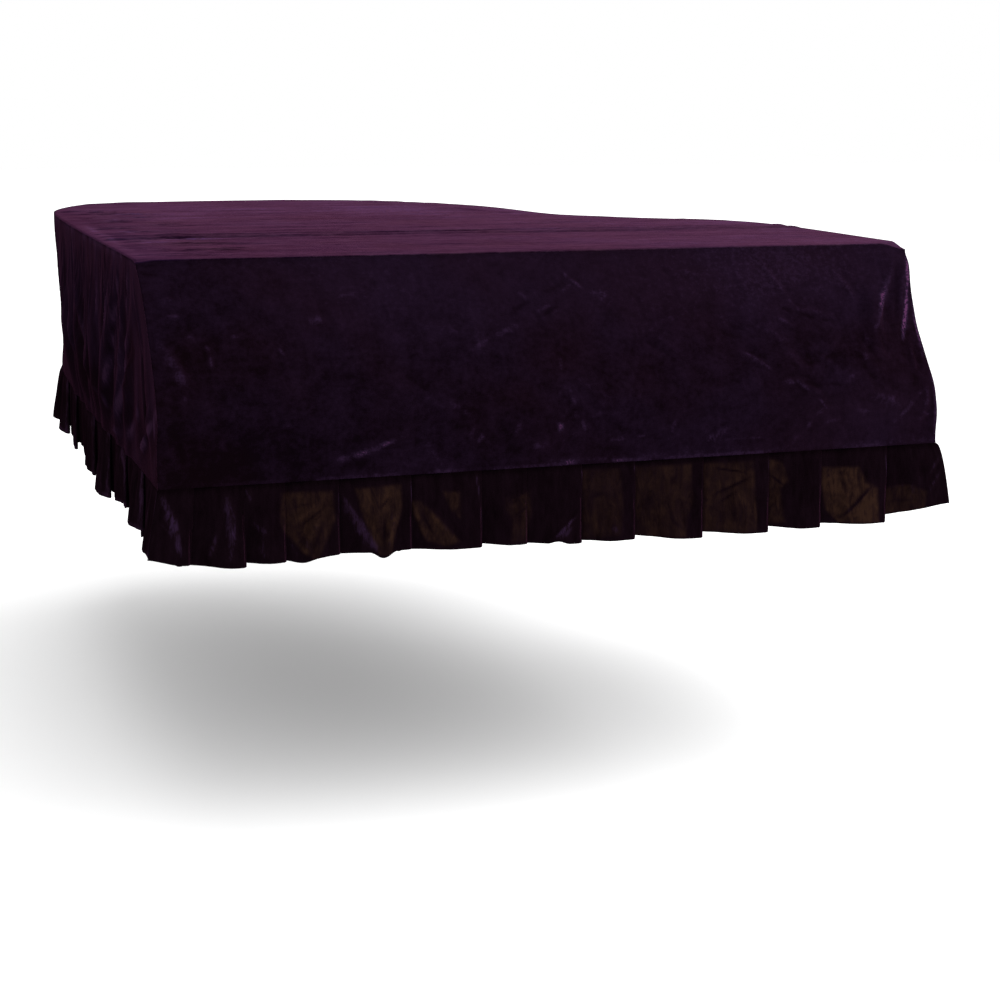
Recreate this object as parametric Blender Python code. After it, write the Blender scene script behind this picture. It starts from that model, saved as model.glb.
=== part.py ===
"""Fitted velvet cover for a grand piano: a top, a front, a side strip and two pleated flounces.

Metres, +Z up. X runs along the keyboard, with the bass side at -X, and +Y runs to the tail.
The origin is on the underside of the top, where the piano's lid carries the cloth.
"""
from bisect import bisect_right
from collections import namedtuple
from math import cos, pi, radians, sin, sqrt

import bmesh
import bpy
from mathutils import Vector
from mathutils.geometry import interpolate_bezier

# Cloth
PANEL_CLOTH = 0.002
FLOUNCE_CLOTH = 0.0015
SEAM_GAP = 0.0003

# Lid and drops
LID_WIDTH = 1.50
MOUNT_SETBACK = 0.91
PANEL_DROP = 0.3675
FLOUNCE_DROP = 0.132

# Mesh steps
EDGE_SAMPLES = 24
FRONT_COLUMNS = 36
SIDE_STEP = 0.031
TOP_COLUMNS = 18
TOP_ROWS_FRONT = 7
TOP_ROWS_BACK = 18
FLOUNCE_ROWS = 3
FRONT_RUN_STEPS = 4
SIDE_RUN_STEPS = 5

# The lid's edge, from the treble front corner round the tail to the bass front corner. y is
# measured back from the lid's front edge, and heading is the way of travel, in degrees from +X.
Knot = namedtuple("Knot", "x y heading")
LID_KNOTS = (
    Knot(0.750, 0.00, 90),
    Knot(0.758, 0.50, 91),
    Knot(0.680, 0.755, 136),
    Knot(0.475, 0.930, 133),
    Knot(0.388, 1.12, 98),
    Knot(0.340, 1.42, 107),
    Knot(0.200, 1.65, 134),
    Knot(-0.020, 1.785, 162),
    Knot(-0.250, 1.820, 180),
    Knot(-0.520, 1.780, 200),
    Knot(-0.680, 1.630, 246),
    Knot(-0.746, 1.33, 268),
    Knot(-0.750, 0.00, 270),
)
HANDLE_SHARE = 0.35
TAIL_TREBLE_KNOT = 6
TAIL_BASS_KNOT = 10

# How far the cloth stands out in front of the lid as it falls over the closed keyboard, and how
# far its treble corner is drawn in from the lid's side.
Reach = namedtuple("Reach", "drop bass treble drawn_in")
FRONT_REACH = (
    Reach(0.0003, 0.000, 0.000, 0.000),
    Reach(0.0070, 0.000, 0.000, 0.000),
    Reach(0.0340, 0.038, 0.018, 0.001),
    Reach(0.0850, 0.092, 0.048, 0.012),
    Reach(0.1500, 0.141, 0.084, 0.017),
    Reach(0.2090, 0.174, 0.128, 0.018),
    Reach(0.2550, 0.190, 0.162, 0.018),
    Reach(0.3050, 0.166, 0.176, 0.018),
    Reach(0.3550, 0.165, 0.166, 0.014),
    Reach(0.3675, 0.165, 0.166, 0.012),
)
DRAWN_FORWARD = 0.60
DRAWN_IN_WIDTH = 0.16

# Soft folds that stand out from the front panel. x is where a fold starts at its upper end,
# and lean is how far its foot lies to the treble side of that.
FrontFold = namedtuple("FrontFold", "x lean upper lower half_width height")
FRONT_FOLDS = (
    FrontFold(-0.60, 0.10, 0.08, 0.30, 0.045, 0.007),
    FrontFold(-0.36, 0.03, 0.12, 0.33, 0.060, 0.005),
    FrontFold(-0.12, -0.14, 0.06, 0.22, 0.055, 0.006),
    FrontFold(0.10, -0.05, 0.16, 0.34, 0.070, 0.006),
    FrontFold(0.33, 0.12, 0.05, 0.26, 0.060, 0.007),
    FrontFold(0.52, -0.10, 0.18, 0.34, 0.060, 0.008),
    FrontFold(0.665, -0.045, 0.03, 0.24, 0.035, 0.012),
)

# Hanging folds of the bass side. y is where a fold leaves the lid, back from its front edge, and
# lean is how far its foot lies behind that. They draw together over the middle of the side.
SideFold = namedtuple("SideFold", "y lean half_width height")
BASS_FOLDS = (
    SideFold(-0.085, -0.060, 0.050, 0.010),
    SideFold(0.030, 0.150, 0.050, 0.012),
    SideFold(0.150, 0.140, 0.052, 0.014),
    SideFold(0.265, 0.200, 0.064, 0.020),
    SideFold(0.420, 0.080, 0.050, 0.010),
    SideFold(0.565, 0.010, 0.058, 0.014),
    SideFold(0.700, -0.060, 0.050, 0.010),
    SideFold(0.860, -0.150, 0.072, 0.020),
    SideFold(1.010, -0.170, 0.050, 0.011),
    SideFold(1.165, -0.220, 0.078, 0.016),
)
FAR_HOLLOW = SideFold(1.420, 0.000, 0.210, 0.013)
CORNER_FADE = 0.12
HIDDEN_FOLD_PITCH = 0.150
HIDDEN_FOLD_HEIGHT = 0.017
HIDDEN_FOLD_LEAN = 0.045
SEAM_SHARE = 0.35

# The crease across the top, over the hinge of the lid's front flap.
CREASE_Y_BASS = 0.515
CREASE_Y_TREBLE = 0.475
CREASE_BAND = 0.032
CREASE_LIFT = 0.0035

# Knife pleats. edge is a pleat's outer fold: x along the front, y back from the lid's front
# edge along the bass side. tuck is the cloth folded under it.
Pleat = namedtuple("Pleat", "edge tuck")
FRONT_PLEATS = (
    Pleat(-0.690, 0.016),
    Pleat(-0.605, 0.020),
    Pleat(-0.535, 0.018),
    Pleat(-0.440, 0.024),
    Pleat(-0.310, 0.026),
    Pleat(-0.180, 0.024),
    Pleat(-0.095, 0.018),
    Pleat(0.010, 0.026),
    Pleat(0.114, 0.026),
    Pleat(0.250, 0.025),
    Pleat(0.384, 0.028),
    Pleat(0.494, 0.022),
    Pleat(0.635, 0.022),
)
BASS_PLEATS = (
    Pleat(1.36, 0.036),
    Pleat(1.16, 0.036),
    Pleat(0.93, 0.030),
    Pleat(0.63, 0.036),
    Pleat(0.42, 0.036),
    Pleat(0.20, 0.038),
    Pleat(0.01, 0.030),
)
HIDDEN_PLEAT_PITCH = 0.155
HIDDEN_PLEAT_TUCK = 0.034
LAYER_PITCH = 0.0034
FRONT_OPENING = 0.011
SIDE_OPENING = 0.015
FRONT_FLARE = 0.010
SIDE_FLARE = 0.009
CORNER_SPREAD_BASS = 0.022
CORNER_SPREAD_TREBLE = 0.028
CORNER_SPREAD_WIDTH = 0.12
HEM_SAG = 0.007
CORNER_LIFT = 0.022
CORNER_LIFT_WIDTH = 0.11


def remove_all_objects():
    for thing in list(bpy.data.objects):
        bpy.data.objects.remove(thing, do_unlink=True)


def velvet(name, colour, roughness):
    """A Principled BSDF for one of the cover's cloths."""
    material = bpy.data.materials.new(name)
    material.use_nodes = True
    shader = material.node_tree.nodes["Principled BSDF"]
    shader.inputs["Base Color"].default_value = (*colour, 1.0)
    shader.inputs["Roughness"].default_value = roughness
    shader.inputs["Metallic"].default_value = 0.0
    material.diffuse_color = (*colour, 1.0)
    return material


def mix(a, b, t):
    return a + (b - a) * t


def smooth(t):
    """0 to 1 with level ends."""
    t = min(max(t, 0.0), 1.0)
    return t * t * (3.0 - 2.0 * t)


def bump(t):
    """A round ridge that is 1 at t = 0 and gone at t = -1 and 1."""
    return cos(pi * t / 2.0) ** 2 if abs(t) < 1.0 else 0.0


def uneven(index, seed):
    """An uneven value between -1 and 1 for a numbered fold."""
    return 0.6 * sin(2.39 * index + seed) + 0.4 * sin(5.71 * index + 1.7 * seed)


class LidEdge:
    """The lid's edge seen from above, measured along its length."""

    def __init__(self):
        self.points = []
        self.knot_places = []
        for start, end in zip(LID_KNOTS, LID_KNOTS[1:]):
            self.knot_places.append(len(self.points))
            self.points += self.curve(start, end)[:-1]
        self.knot_places.append(len(self.points))
        self.points.append(Vector((LID_KNOTS[-1].x, LID_KNOTS[-1].y)))
        self.along = [0.0]
        for here, there in zip(self.points, self.points[1:]):
            self.along.append(self.along[-1] + (there - here).length)
        self.length = self.along[-1]

    @staticmethod
    def curve(start, end):
        ends = [Vector((knot.x, knot.y)) for knot in (start, end)]
        reach = HANDLE_SHARE * (ends[1] - ends[0]).length
        ways = [Vector((cos(radians(k.heading)), sin(radians(k.heading)))) for k in (start, end)]
        handles = (ends[0] + ways[0] * reach, ends[1] - ways[1] * reach)
        return interpolate_bezier(ends[0], handles[0], handles[1], ends[1], EDGE_SAMPLES + 1)

    def knot_along(self, index):
        return self.along[self.knot_places[index]]

    def place(self, along):
        """The point at a distance along the edge. Past either end it runs straight forward."""
        if along <= 0.0:
            return self.points[0] + Vector((0.0, along))
        if along >= self.length:
            return self.points[-1] - Vector((0.0, along - self.length))
        index = bisect_right(self.along, along) - 1
        span = self.along[index + 1] - self.along[index]
        return self.points[index].lerp(self.points[index + 1], (along - self.along[index]) / span)

    def outward(self, along):
        """The level direction that points away from the lid."""
        step = 0.004
        way = self.place(along + step) - self.place(along - step)
        return Vector((way.y, -way.x)).normalized()


EDGE = LidEdge()


def in_frame(across, back, height):
    """A point given from the lid's front edge, in the part's own frame."""
    return Vector((across, back - MOUNT_SETBACK, height))


def reach_at(drop):
    """The row of the reach table for any drop below the lid."""
    row = 1
    while row < len(FRONT_REACH) - 1 and FRONT_REACH[row].drop < drop:
        row += 1
    above, below = FRONT_REACH[row - 1], FRONT_REACH[row]
    share = (drop - above.drop) / (below.drop - above.drop)
    return Reach(*(mix(a, b, share) for a, b in zip(above, below)))


def front_reach(side, drop):
    """How far out the front stands at a drop below the lid. side is 0 at the bass, 1 at the treble."""
    row = reach_at(drop)
    return mix(row.bass, row.treble, side)


def drawn_in(from_treble, drop):
    """How far cloth is drawn in from the treble side at a distance from that corner."""
    return reach_at(drop).drawn_in * smooth(1.0 - from_treble / DRAWN_IN_WIDTH)


def corner_margin(side, row):
    """The room that the side strip leaves behind the front panel where the two are sewn."""
    steepest = 0.0
    for above, below in zip(FRONT_REACH[max(row - 1, 0):], FRONT_REACH[max(row, 1):row + 2]):
        rise = mix(below.bass - above.bass, below.treble - above.treble, side)
        steepest = max(steepest, abs(rise / (below.drop - above.drop)))
    return PANEL_CLOTH / 2.0 * sqrt(1.0 + steepest ** 2) + SEAM_GAP


def cloth_piece(name, columns, rows, place, cloth, material):
    """A sheet of one piece: a grid whose crossings lie at place(column, row), given its thickness."""
    mesh = bpy.data.meshes.new(name)
    grid = bmesh.new()
    bmesh.ops.create_grid(grid, x_segments=columns, y_segments=rows, size=0.5)
    for vert in grid.verts:
        column = round((vert.co.x + 0.5) * columns)
        row = round((vert.co.y + 0.5) * rows)
        vert.co = place(column, row)
    grid.to_mesh(mesh)
    grid.free()
    mesh.materials.append(material)
    mesh.shade_smooth()
    piece = bpy.data.objects.new(name, mesh)
    bpy.context.collection.objects.link(piece)
    thickness = piece.modifiers.new("cloth", "SOLIDIFY")
    thickness.thickness = cloth
    thickness.offset = 0.0
    return piece


def crease_lift(across, back):
    """The soft bands on both sides of the crease over the lid's hinge."""
    share = (across + LID_WIDTH / 2.0) / LID_WIDTH
    crease = mix(CREASE_Y_BASS, CREASE_Y_TREBLE, share ** 2)
    bands = bump((back - crease) / CREASE_BAND - 1.0) + bump((back - crease) / CREASE_BAND + 1.0)
    return CREASE_LIFT * bands


def make_top(material):
    """The flat panel on the lid, a patch stretched between the lid's four stretches of edge."""
    treble_end = EDGE.knot_along(TAIL_TREBLE_KNOT)
    bass_end = EDGE.knot_along(TAIL_BASS_KNOT)
    bass_length = EDGE.length - bass_end
    rows = TOP_ROWS_FRONT + TOP_ROWS_BACK

    def rim(along):
        return EDGE.place(along) + EDGE.outward(along) * PANEL_CLOTH / 2.0

    def row_share(row, across_share):
        """Rows close up towards the crease from the front and from the tail."""
        crease = mix(CREASE_Y_BASS / bass_length, CREASE_Y_TREBLE / treble_end, across_share ** 2)
        if row <= TOP_ROWS_FRONT:
            return crease * (1.0 - (1.0 - row / TOP_ROWS_FRONT) ** 1.7)
        return crease + (1.0 - crease) * ((row - TOP_ROWS_FRONT) / TOP_ROWS_BACK) ** 1.45

    def place(column, row):
        u = column / TOP_COLUMNS
        v = row_share(row, u)
        front_bass, front_treble = rim(EDGE.length), rim(0.0)
        front_bass.y = front_treble.y = -PANEL_CLOTH / 2.0
        tail_bass, tail_treble = rim(bass_end), rim(treble_end)
        bass = rim(EDGE.length - bass_length * v) if row else front_bass
        treble = rim(treble_end * v) if row else front_treble
        front = front_bass.lerp(front_treble, u)
        tail = rim(mix(bass_end, treble_end, u))
        ruled = front.lerp(tail, v) + bass.lerp(treble, u)
        corners = front_bass.lerp(front_treble, u).lerp(tail_bass.lerp(tail_treble, u), v)
        spot = ruled - corners
        inside = 0 < column < TOP_COLUMNS and 0 < row < rows
        lift = crease_lift(spot.x, spot.y) if inside else 0.0
        return in_frame(spot.x, spot.y, PANEL_CLOTH / 2.0 + lift)

    return cloth_piece("top_panel", TOP_COLUMNS, rows, place, PANEL_CLOTH, material)


def front_fold_height(across, drop):
    """How far the soft folds lift the front panel."""
    height = 0.0
    for fold in FRONT_FOLDS:
        share = (drop - fold.upper) / (fold.lower - fold.upper)
        middle = fold.x + fold.lean * share
        height += fold.height * bump((across - middle) / fold.half_width) * bump(2.0 * share - 1.0)
    return height


def make_front(material):
    """The panel over the keyboard, which slopes forward from the lid and then hangs."""
    half = LID_WIDTH / 2.0 + PANEL_CLOTH / 2.0

    def place(column, row):
        side = column / FRONT_COLUMNS
        across = mix(-half, half, side)
        drop = FRONT_REACH[row].drop
        reach = front_reach(side, drop) + front_fold_height(across, drop)
        return in_frame(across - drawn_in(half - across, drop), -reach, -drop)

    rows = len(FRONT_REACH) - 1
    return cloth_piece("front_panel", FRONT_COLUMNS, rows, place, PANEL_CLOTH, material)


def side_folds():
    """Every hanging fold of the side strip, from the front of the bass side round to the treble."""
    folds = list(BASS_FOLDS)
    first = FAR_HOLLOW.y + HIDDEN_FOLD_PITCH
    count = round((EDGE.length - 0.08 - first) / HIDDEN_FOLD_PITCH)
    pitch = (EDGE.length - 0.08 - first) / count
    for index in range(count + 1):
        y = first + pitch * (index + 0.25 * uneven(index, 0.4))
        lean = HIDDEN_FOLD_LEAN * uneven(index, 4.2)
        half_width = pitch * (0.52 + 0.12 * uneven(index, 1.9))
        height = HIDDEN_FOLD_HEIGHT * (1.0 + 0.4 * uneven(index, 3.1))
        folds.append(SideFold(y, lean, half_width, height))
    return folds


SIDE_FOLDS = side_folds()


def side_fold_height(along, drop):
    """How far the hanging folds stand out from the lid's edge. Folds that meet run into one."""
    fall = drop / PANEL_DROP
    back = EDGE.length - along

    def ridge(fold):
        middle = fold.y + fold.lean * fall ** 1.3
        return fold.height * bump((back - middle) / fold.half_width)

    out = sum(ridge(fold) ** 3 for fold in SIDE_FOLDS) ** (1.0 / 3.0) - ridge(FAR_HOLLOW)
    return out * smooth(fall * 1.6) * mix(1.0, SEAM_SHARE, smooth(fall * 4.0 - 3.0))


def corner_fade(along, first, last):
    """0 at the two front corners and 1 away from them."""
    return smooth(min(along - first, last - along) / CORNER_FADE)


def make_side(material):
    """The strip round both sides and the tail, gathered at the lid and falling in soft folds."""
    columns = round(EDGE.length / SIDE_STEP)
    rows = len(FRONT_REACH) - 1
    seam_rows = (0, 1)

    def drawn(distance):
        return max(1.0 - distance / DRAWN_FORWARD, 0.0) ** 1.5

    def place(column, row):
        start = EDGE.length * column / columns
        drop = FRONT_REACH[row].drop
        to_treble = front_reach(1.0, drop) - corner_margin(1.0, row)
        to_bass = front_reach(0.0, drop) - corner_margin(0.0, row)
        along = start - to_treble * drawn(start) + to_bass * drawn(EDGE.length - start)
        out = 0.0 if row in seam_rows else side_fold_height(along, drop)
        out *= corner_fade(along, -to_treble, EDGE.length + to_bass)
        out -= drawn_in(along + to_treble, drop)
        spot = EDGE.place(along) + EDGE.outward(along) * out
        return in_frame(spot.x, spot.y, -drop)

    return cloth_piece("side_panel", columns, rows, place, PANEL_CLOTH, material)


def pleat_stations(start, end, pleats, run_steps):
    """The cloth's way through its knife pleats.

    Each station is (along, layer, fold): layer 0 is the outer face, 1 the cloth folded back
    and 2 the start of the next pleat; fold is -1 or 1 at the turned edges.
    """
    stations = [(start, 0.0, 0)]
    here, layer = start, 0.0

    def run_to(place, steps):
        for step in range(1, steps):
            share = step / run_steps
            stations.append((mix(here, place, share), layer * (1.0 - smooth(share)), 0))

    for pleat in pleats:
        run_to(pleat.edge, run_steps)
        stations += [(pleat.edge, 0.0, -1), (pleat.edge, 0.5, 0), (pleat.edge, 1.0, -1)]
        stations.append((pleat.edge - pleat.tuck / 2.0, 1.0, 0))
        here = pleat.edge - pleat.tuck
        layer = 2.0
        stations += [(here, 1.0, 1), (here, 1.5, 0), (here, layer, 1)]
    run_to(end, run_steps + 1)
    return stations


def make_flounce(name, stations, base, opening, material):
    """A strip of knife pleats that hangs from the seam under a panel and opens to its hem.

    base(along, fall) gives the seam's point moved out by its flare, and the outward direction.
    """
    top = PANEL_DROP + SEAM_GAP
    first, last = stations[0][0], stations[-1][0]

    def place(column, row):
        along, layer, fold = stations[column]
        fall = row / FLOUNCE_ROWS
        lift = CORNER_LIFT * (1.0 - smooth(min(along - first, last - along) / CORNER_LIFT_WIDTH))
        pitch = mix(LAYER_PITCH, opening, fall ** 1.3)
        turned = fold * pitch / 2.0
        spot, outward = base(along + turned, fall)
        spot = spot - outward * pitch * layer
        sag = HEM_SAG * (1.0 - layer / 2.0)
        return in_frame(spot.x, spot.y, -(top + (FLOUNCE_DROP + sag - lift) * fall))

    return cloth_piece(name, len(stations) - 1, FLOUNCE_ROWS, place, FLOUNCE_CLOTH, material)


def corner_spread(distance, spread):
    """How far a flounce's hem stands out to the side near a front corner."""
    return spread * smooth(1.0 - distance / CORNER_SPREAD_WIDTH)


def make_front_flounce(material):
    """The pleats along the keyboard side."""
    half = LID_WIDTH / 2.0 + PANEL_CLOTH / 2.0
    stations = pleat_stations(-half, half, FRONT_PLEATS, FRONT_RUN_STEPS)
    thinner = (PANEL_CLOTH - FLOUNCE_CLOTH) / 2.0

    def base(across, fall):
        side = (across + half) / (2.0 * half)
        spread = corner_spread(half - across, CORNER_SPREAD_TREBLE) * fall
        spread -= corner_spread(across + half, CORNER_SPREAD_BASS) * fall
        reach = front_reach(side, PANEL_DROP) + thinner + FRONT_FLARE * fall
        across = across + spread - drawn_in(half - across, PANEL_DROP)
        return Vector((across, -reach)), Vector((0.0, -1.0))

    return make_flounce("front_flounce", stations, base, FRONT_OPENING, material)


def side_pleats():
    """The side strip's pleats in their order along the lid's edge, hidden ones first."""
    bass = [Pleat(EDGE.length - pleat.edge, pleat.tuck) for pleat in BASS_PLEATS]
    first = 0.02
    count = round((bass[0].edge - first) / HIDDEN_PLEAT_PITCH)
    pitch = (bass[0].edge - first) / count
    hidden = []
    for index in range(count):
        edge = first + pitch * (index + 0.22 * uneven(index, 2.2))
        hidden.append(Pleat(edge, HIDDEN_PLEAT_TUCK * (1.0 + 0.15 * uneven(index, 0.9))))
    return hidden + bass


def make_side_flounce(material):
    """The pleats round both sides and the tail."""
    last_row = len(FRONT_REACH) - 1
    start = corner_margin(1.0, last_row) - front_reach(1.0, PANEL_DROP)
    end = EDGE.length + front_reach(0.0, PANEL_DROP) - corner_margin(0.0, last_row)
    stations = pleat_stations(start, end, side_pleats(), SIDE_RUN_STEPS)
    thinner = (PANEL_CLOTH - FLOUNCE_CLOTH) / 2.0

    def base(along, fall):
        out = side_fold_height(along, PANEL_DROP) * corner_fade(along, start, end) + thinner
        out += SIDE_FLARE * fall - drawn_in(along - start, PANEL_DROP)
        out += corner_spread(along - start, CORNER_SPREAD_TREBLE - SIDE_FLARE) * fall
        out += corner_spread(end - along, CORNER_SPREAD_BASS - SIDE_FLARE) * fall
        outward = EDGE.outward(along)
        spot = EDGE.place(along) + outward * out
        to_corner = min(along - start, end - along)
        spot.y -= corner_spread(to_corner, FRONT_FLARE) * fall
        return spot, outward

    return make_flounce("side_flounce", stations, base, SIDE_OPENING, material)


def main():
    remove_all_objects()
    plum = velvet("plum_velvet", (0.030, 0.006, 0.034), 0.85)
    thin_plum = velvet("thin_plum_velvet", (0.026, 0.008, 0.024), 0.80)
    make_top(plum)
    make_front(plum)
    make_side(plum)
    make_front_flounce(thin_plum)
    make_side_flounce(thin_plum)


main()
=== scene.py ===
"""Looks of the velvet cover for a grand piano: fine cloth on the folds of the solids, finishes and studio.

Metres, in the part's own frame: X along the keyboard, bass at -X, +Y to the tail, origin on the
underside of the top. The tables are in millimetres.
"""
from collections import namedtuple
from math import cos, hypot, pi, radians, sin

import bmesh
import bpy
import numpy as np
from mathutils import Matrix, Vector
from mathutils.geometry import interpolate_bezier


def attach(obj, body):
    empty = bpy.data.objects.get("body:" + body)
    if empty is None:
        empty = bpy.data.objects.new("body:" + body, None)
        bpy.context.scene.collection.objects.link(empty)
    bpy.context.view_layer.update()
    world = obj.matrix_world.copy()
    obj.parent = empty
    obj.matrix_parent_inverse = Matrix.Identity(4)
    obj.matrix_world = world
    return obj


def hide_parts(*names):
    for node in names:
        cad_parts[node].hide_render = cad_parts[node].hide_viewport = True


# Cloth
PANEL_CLOTH = 0.002
FLOUNCE_CLOTH = 0.0015
SEAM_LAP = 0.0002

# Lid and drops, as in the solids
LID_WIDTH = 1.50
MOUNT_SETBACK = 0.91
PANEL_DROP = 0.3675
FLOOR_HEIGHT = -1.025

# Mesh steps
EDGE_SAMPLES = 96
TOP_COLUMNS = 110
TOP_ROWS = 420
FRONT_COLUMNS = 380
FRONT_ROWS = 108
SIDE_COLUMNS_HIDDEN = 440
SIDE_COLUMNS_BASS = 420
SIDE_ROWS = 54
FLOUNCE_ROWS = 44
SIDE_FLOUNCE_ROWS = 24
FRONT_TRIAL_STEPS = 400
HEM_ROWS = 3
HEM_TURN = 0.0024
HEM_TURN_STEPS = 4
# How much closer together the top's columns lie at its two sides, as a share, and between which
# shares of its length that fades out towards the tail.
RIM_CROWDING = 0.60
CROWDED_TO, EVEN_FROM = 0.35, 0.65


def mix(a, b, t):
    return a + (b - a) * t


def smooth(t):
    """0 to 1 with level ends."""
    t = np.clip(t, 0.0, 1.0)
    return t * t * (3.0 - 2.0 * t)


def bump(t):
    """A round ridge that is 1 at t = 0 and gone at t = -1 and 1."""
    return np.where(np.abs(t) < 1.0, np.cos(pi * np.asarray(t) / 2.0) ** 2, 0.0)


def level(t):
    """1 everywhere."""
    return 1.0


NOT_LENGTHS = ("heading", "strength", "count", "seed", "spread", "across_shape", "down_shape")


def table(kind, *rows):
    """Rows with named columns. Their lengths are written in millimetres and kept in metres."""
    return tuple(
        kind(*(value if name in NOT_LENGTHS else value / 1000.0 for name, value in zip(kind._fields, row)))
        for row in rows)


# The lid's edge, from the treble front corner round the tail to the bass front corner. y is
# measured back from the lid's front edge, and heading is the way of travel, in degrees from +X.
Knot = namedtuple("Knot", "x y heading")
LID_KNOTS = table(
    Knot,
    (750, 0, 90),
    (758, 500, 91),
    (680, 755, 136),
    (475, 930, 133),
    (388, 1120, 98),
    (340, 1420, 107),
    (200, 1650, 134),
    (-20, 1785, 162),
    (-250, 1820, 180),
    (-520, 1780, 200),
    (-680, 1630, 246),
    (-746, 1330, 268),
    (-750, 0, 270),
)
HANDLE_SHARE = 0.35
TAIL_TREBLE_KNOT = 6
TAIL_BASS_KNOT = 10

# How far the cloth stands out in front of the lid as it falls over the closed keyboard, and how
# far its treble corner is drawn in from the lid's side.
Reach = namedtuple("Reach", "drop bass treble drawn_in")
FRONT_REACH = table(
    Reach,
    (0.3, 0, 0, 0),
    (7, 0, 0, 0),
    (34, 38, 18, 1),
    (85, 92, 48, 12),
    (150, 141, 84, 17),
    (209, 174, 128, 18),
    (255, 190, 162, 18),
    (305, 166, 176, 18),
    (355, 165, 166, 14),
    (367.5, 165, 166, 12),
)
REACH_BLEND = 0.014
DRAWN_FORWARD = 0.60
DRAWN_IN_WIDTH = 0.16

# Soft folds that stand out from the front panel. x is where a fold starts at its upper end,
# and lean is how far its foot lies to the treble side of that.
FrontFold = namedtuple("FrontFold", "x lean upper lower half_width height")
FRONT_FOLDS = table(
    FrontFold,
    (-600, 100, 80, 300, 45, 7),
    (-360, 30, 120, 330, 60, 5),
    (-120, -140, 60, 220, 55, 6),
    (100, -50, 160, 340, 70, 6),
    (330, 120, 50, 260, 60, 7),
    (520, -100, 180, 340, 60, 8),
    (665, -45, 30, 240, 35, 12),
)

# Creases, from one end to the other. across is x on the top and the front, and the distance back
# from the lid's front edge on the side strip. down is the drop below the lid, the drop below the
# seam on the flounce, and on the top the distance back. bow is how far the middle stands off the
# straight line. A negative height is a trough.
Crease = namedtuple("Crease", "across down to_across to_down bow half_width height")
FRONT_CREASES = table(
    Crease,
    (717, 26, 652, 136, 4, 13, 5.5), (744, 24, 688, 180, 6, 11, 4.5), (721, 172, 714, 240, 0, 10, 4),
    (328, 184, 401, 222, 3, 12, 4), (390, 240, 500, 291, 24, 10, 3.8), (416, 213, 542, 192, 6, 8, -2.8),
    (585, 262, 670, 295, 3, 20, 6), (245, 340, 292, 315, 0, 7, 2.4), (390, 346, 440, 310, 2, 8, 2.6),
    (-82, 89, 23, 59, 4, 9, 2.8), (-55, 115, 34, 78, -3, 9, 2.8), (18, 38, 55, 69, 0, 7, 2.2),
    (423, 11, 475, 101, -6, 10, 3.2), (433, 121, 468, 149, 0, 8, 2.6), (464, 117, 562, 133, 6, 9, 2.8),
    (-725, 62, -670, 62, 0, 5, 2), (-730, 91, -676, 89, 2, 5, 2), (-739, 120, -691, 205, 4, 13, 4.5),
    (-655, 135, -652, 171, 0, 6, 2.2), (-622, 97, -591, 117, -12, 8, 2.6),
    (-531, 132, -526, 181, 3, 7, 2.2), (-448, 335, -309, 280, -8, 17, 4.2),
    (-438, 193, -393, 166, 4, 9, 2.6), (-248, 239, -216, 249, 0, 8, 2.4),
    (-745, 240, -700, 352, -10, 12, 4.5), (-738, 330, -640, 296, 6, 7, 2.4),
    (120, 150, 210, 196, 8, 16, -3), (-300, 100, -180, 130, -6, 14, 2.6), (560, 30, 612, 110, 6, 12, 3),
    (600, 150, 640, 220, -8, 14, -3.4), (735, 240, 700, 330, 10, 13, 4.5), (240, 40, 300, 52, 3, 9, 2.4),
)
TOP_CREASES = table(
    Crease,
    (-740, 528, -300, 507, -4, 12, -3.6), (-440, 508, 120, 522, 3, 10, -3),
    (80, 496, 520, 474, 2, 10, -2.8), (460, 474, 755, 479, 2, 10, -2.4),
    (-742, 360, -632, 170, 20, 14, -3.4), (-742, 440, -400, 300, 30, 20, 2.6),
    (-660, 1085, -560, 1020, 6, 18, -3), (-420, 1045, -355, 940, 4, 18, -2.6),
    (140, 60, 230, 85, 4, 10, -2.2), (60, 110, 170, 150, 4, 12, -1.8), (520, 300, 700, 250, 4, 14, -2.2),
    (560, 380, 740, 350, 4, 14, -2.2), (0, 930, 180, 1160, 30, 22, -2.4),
    (120, 1250, 300, 1420, 10, 20, -2.2), (-740, 640, -500, 700, -10, 24, 2.8),
    (-735, 100, -600, 55, 8, 10, 1.8),
)
BASS_CREASES = table(
    Crease,
    (1060, 100, 735, 340, 20, 22, 6), (840, 80, 575, 330, 16, 18, 6.5), (560, 20, 580, 270, 6, 13, 4),
    (262, 10, 480, 310, 20, 24, 8), (200, 12, 335, 250, 8, 16, -6), (150, 10, 280, 335, -40, 20, 7.5),
    (30, 110, 190, 300, 4, 22, -6.5), (70, 180, 200, 335, 6, 16, 5), (-45, 130, -60, 290, 4, 16, -5),
    (40, 20, -100, 200, 8, 14, 3.5), (-160, 205, 50, 345, -20, 14, 6), (385, 300, 270, 345, 6, 10, 5),
    (110, 6, 118, 120, 2, 7, -3), (90, 6, 86, 100, 2, 6, 2.6), (700, 8, 690, 160, 4, 10, -3.4),
    (760, 8, 750, 120, 4, 8, 3), (930, 10, 900, 180, 6, 13, -4), (1100, 10, 1060, 150, 4, 12, 3.6),
    (1300, 10, 1260, 240, 6, 18, 4.4), (450, 6, 455, 80, 2, 8, 2.6), (380, 6, 384, 60, 2, 7, -2.6),
)
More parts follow.
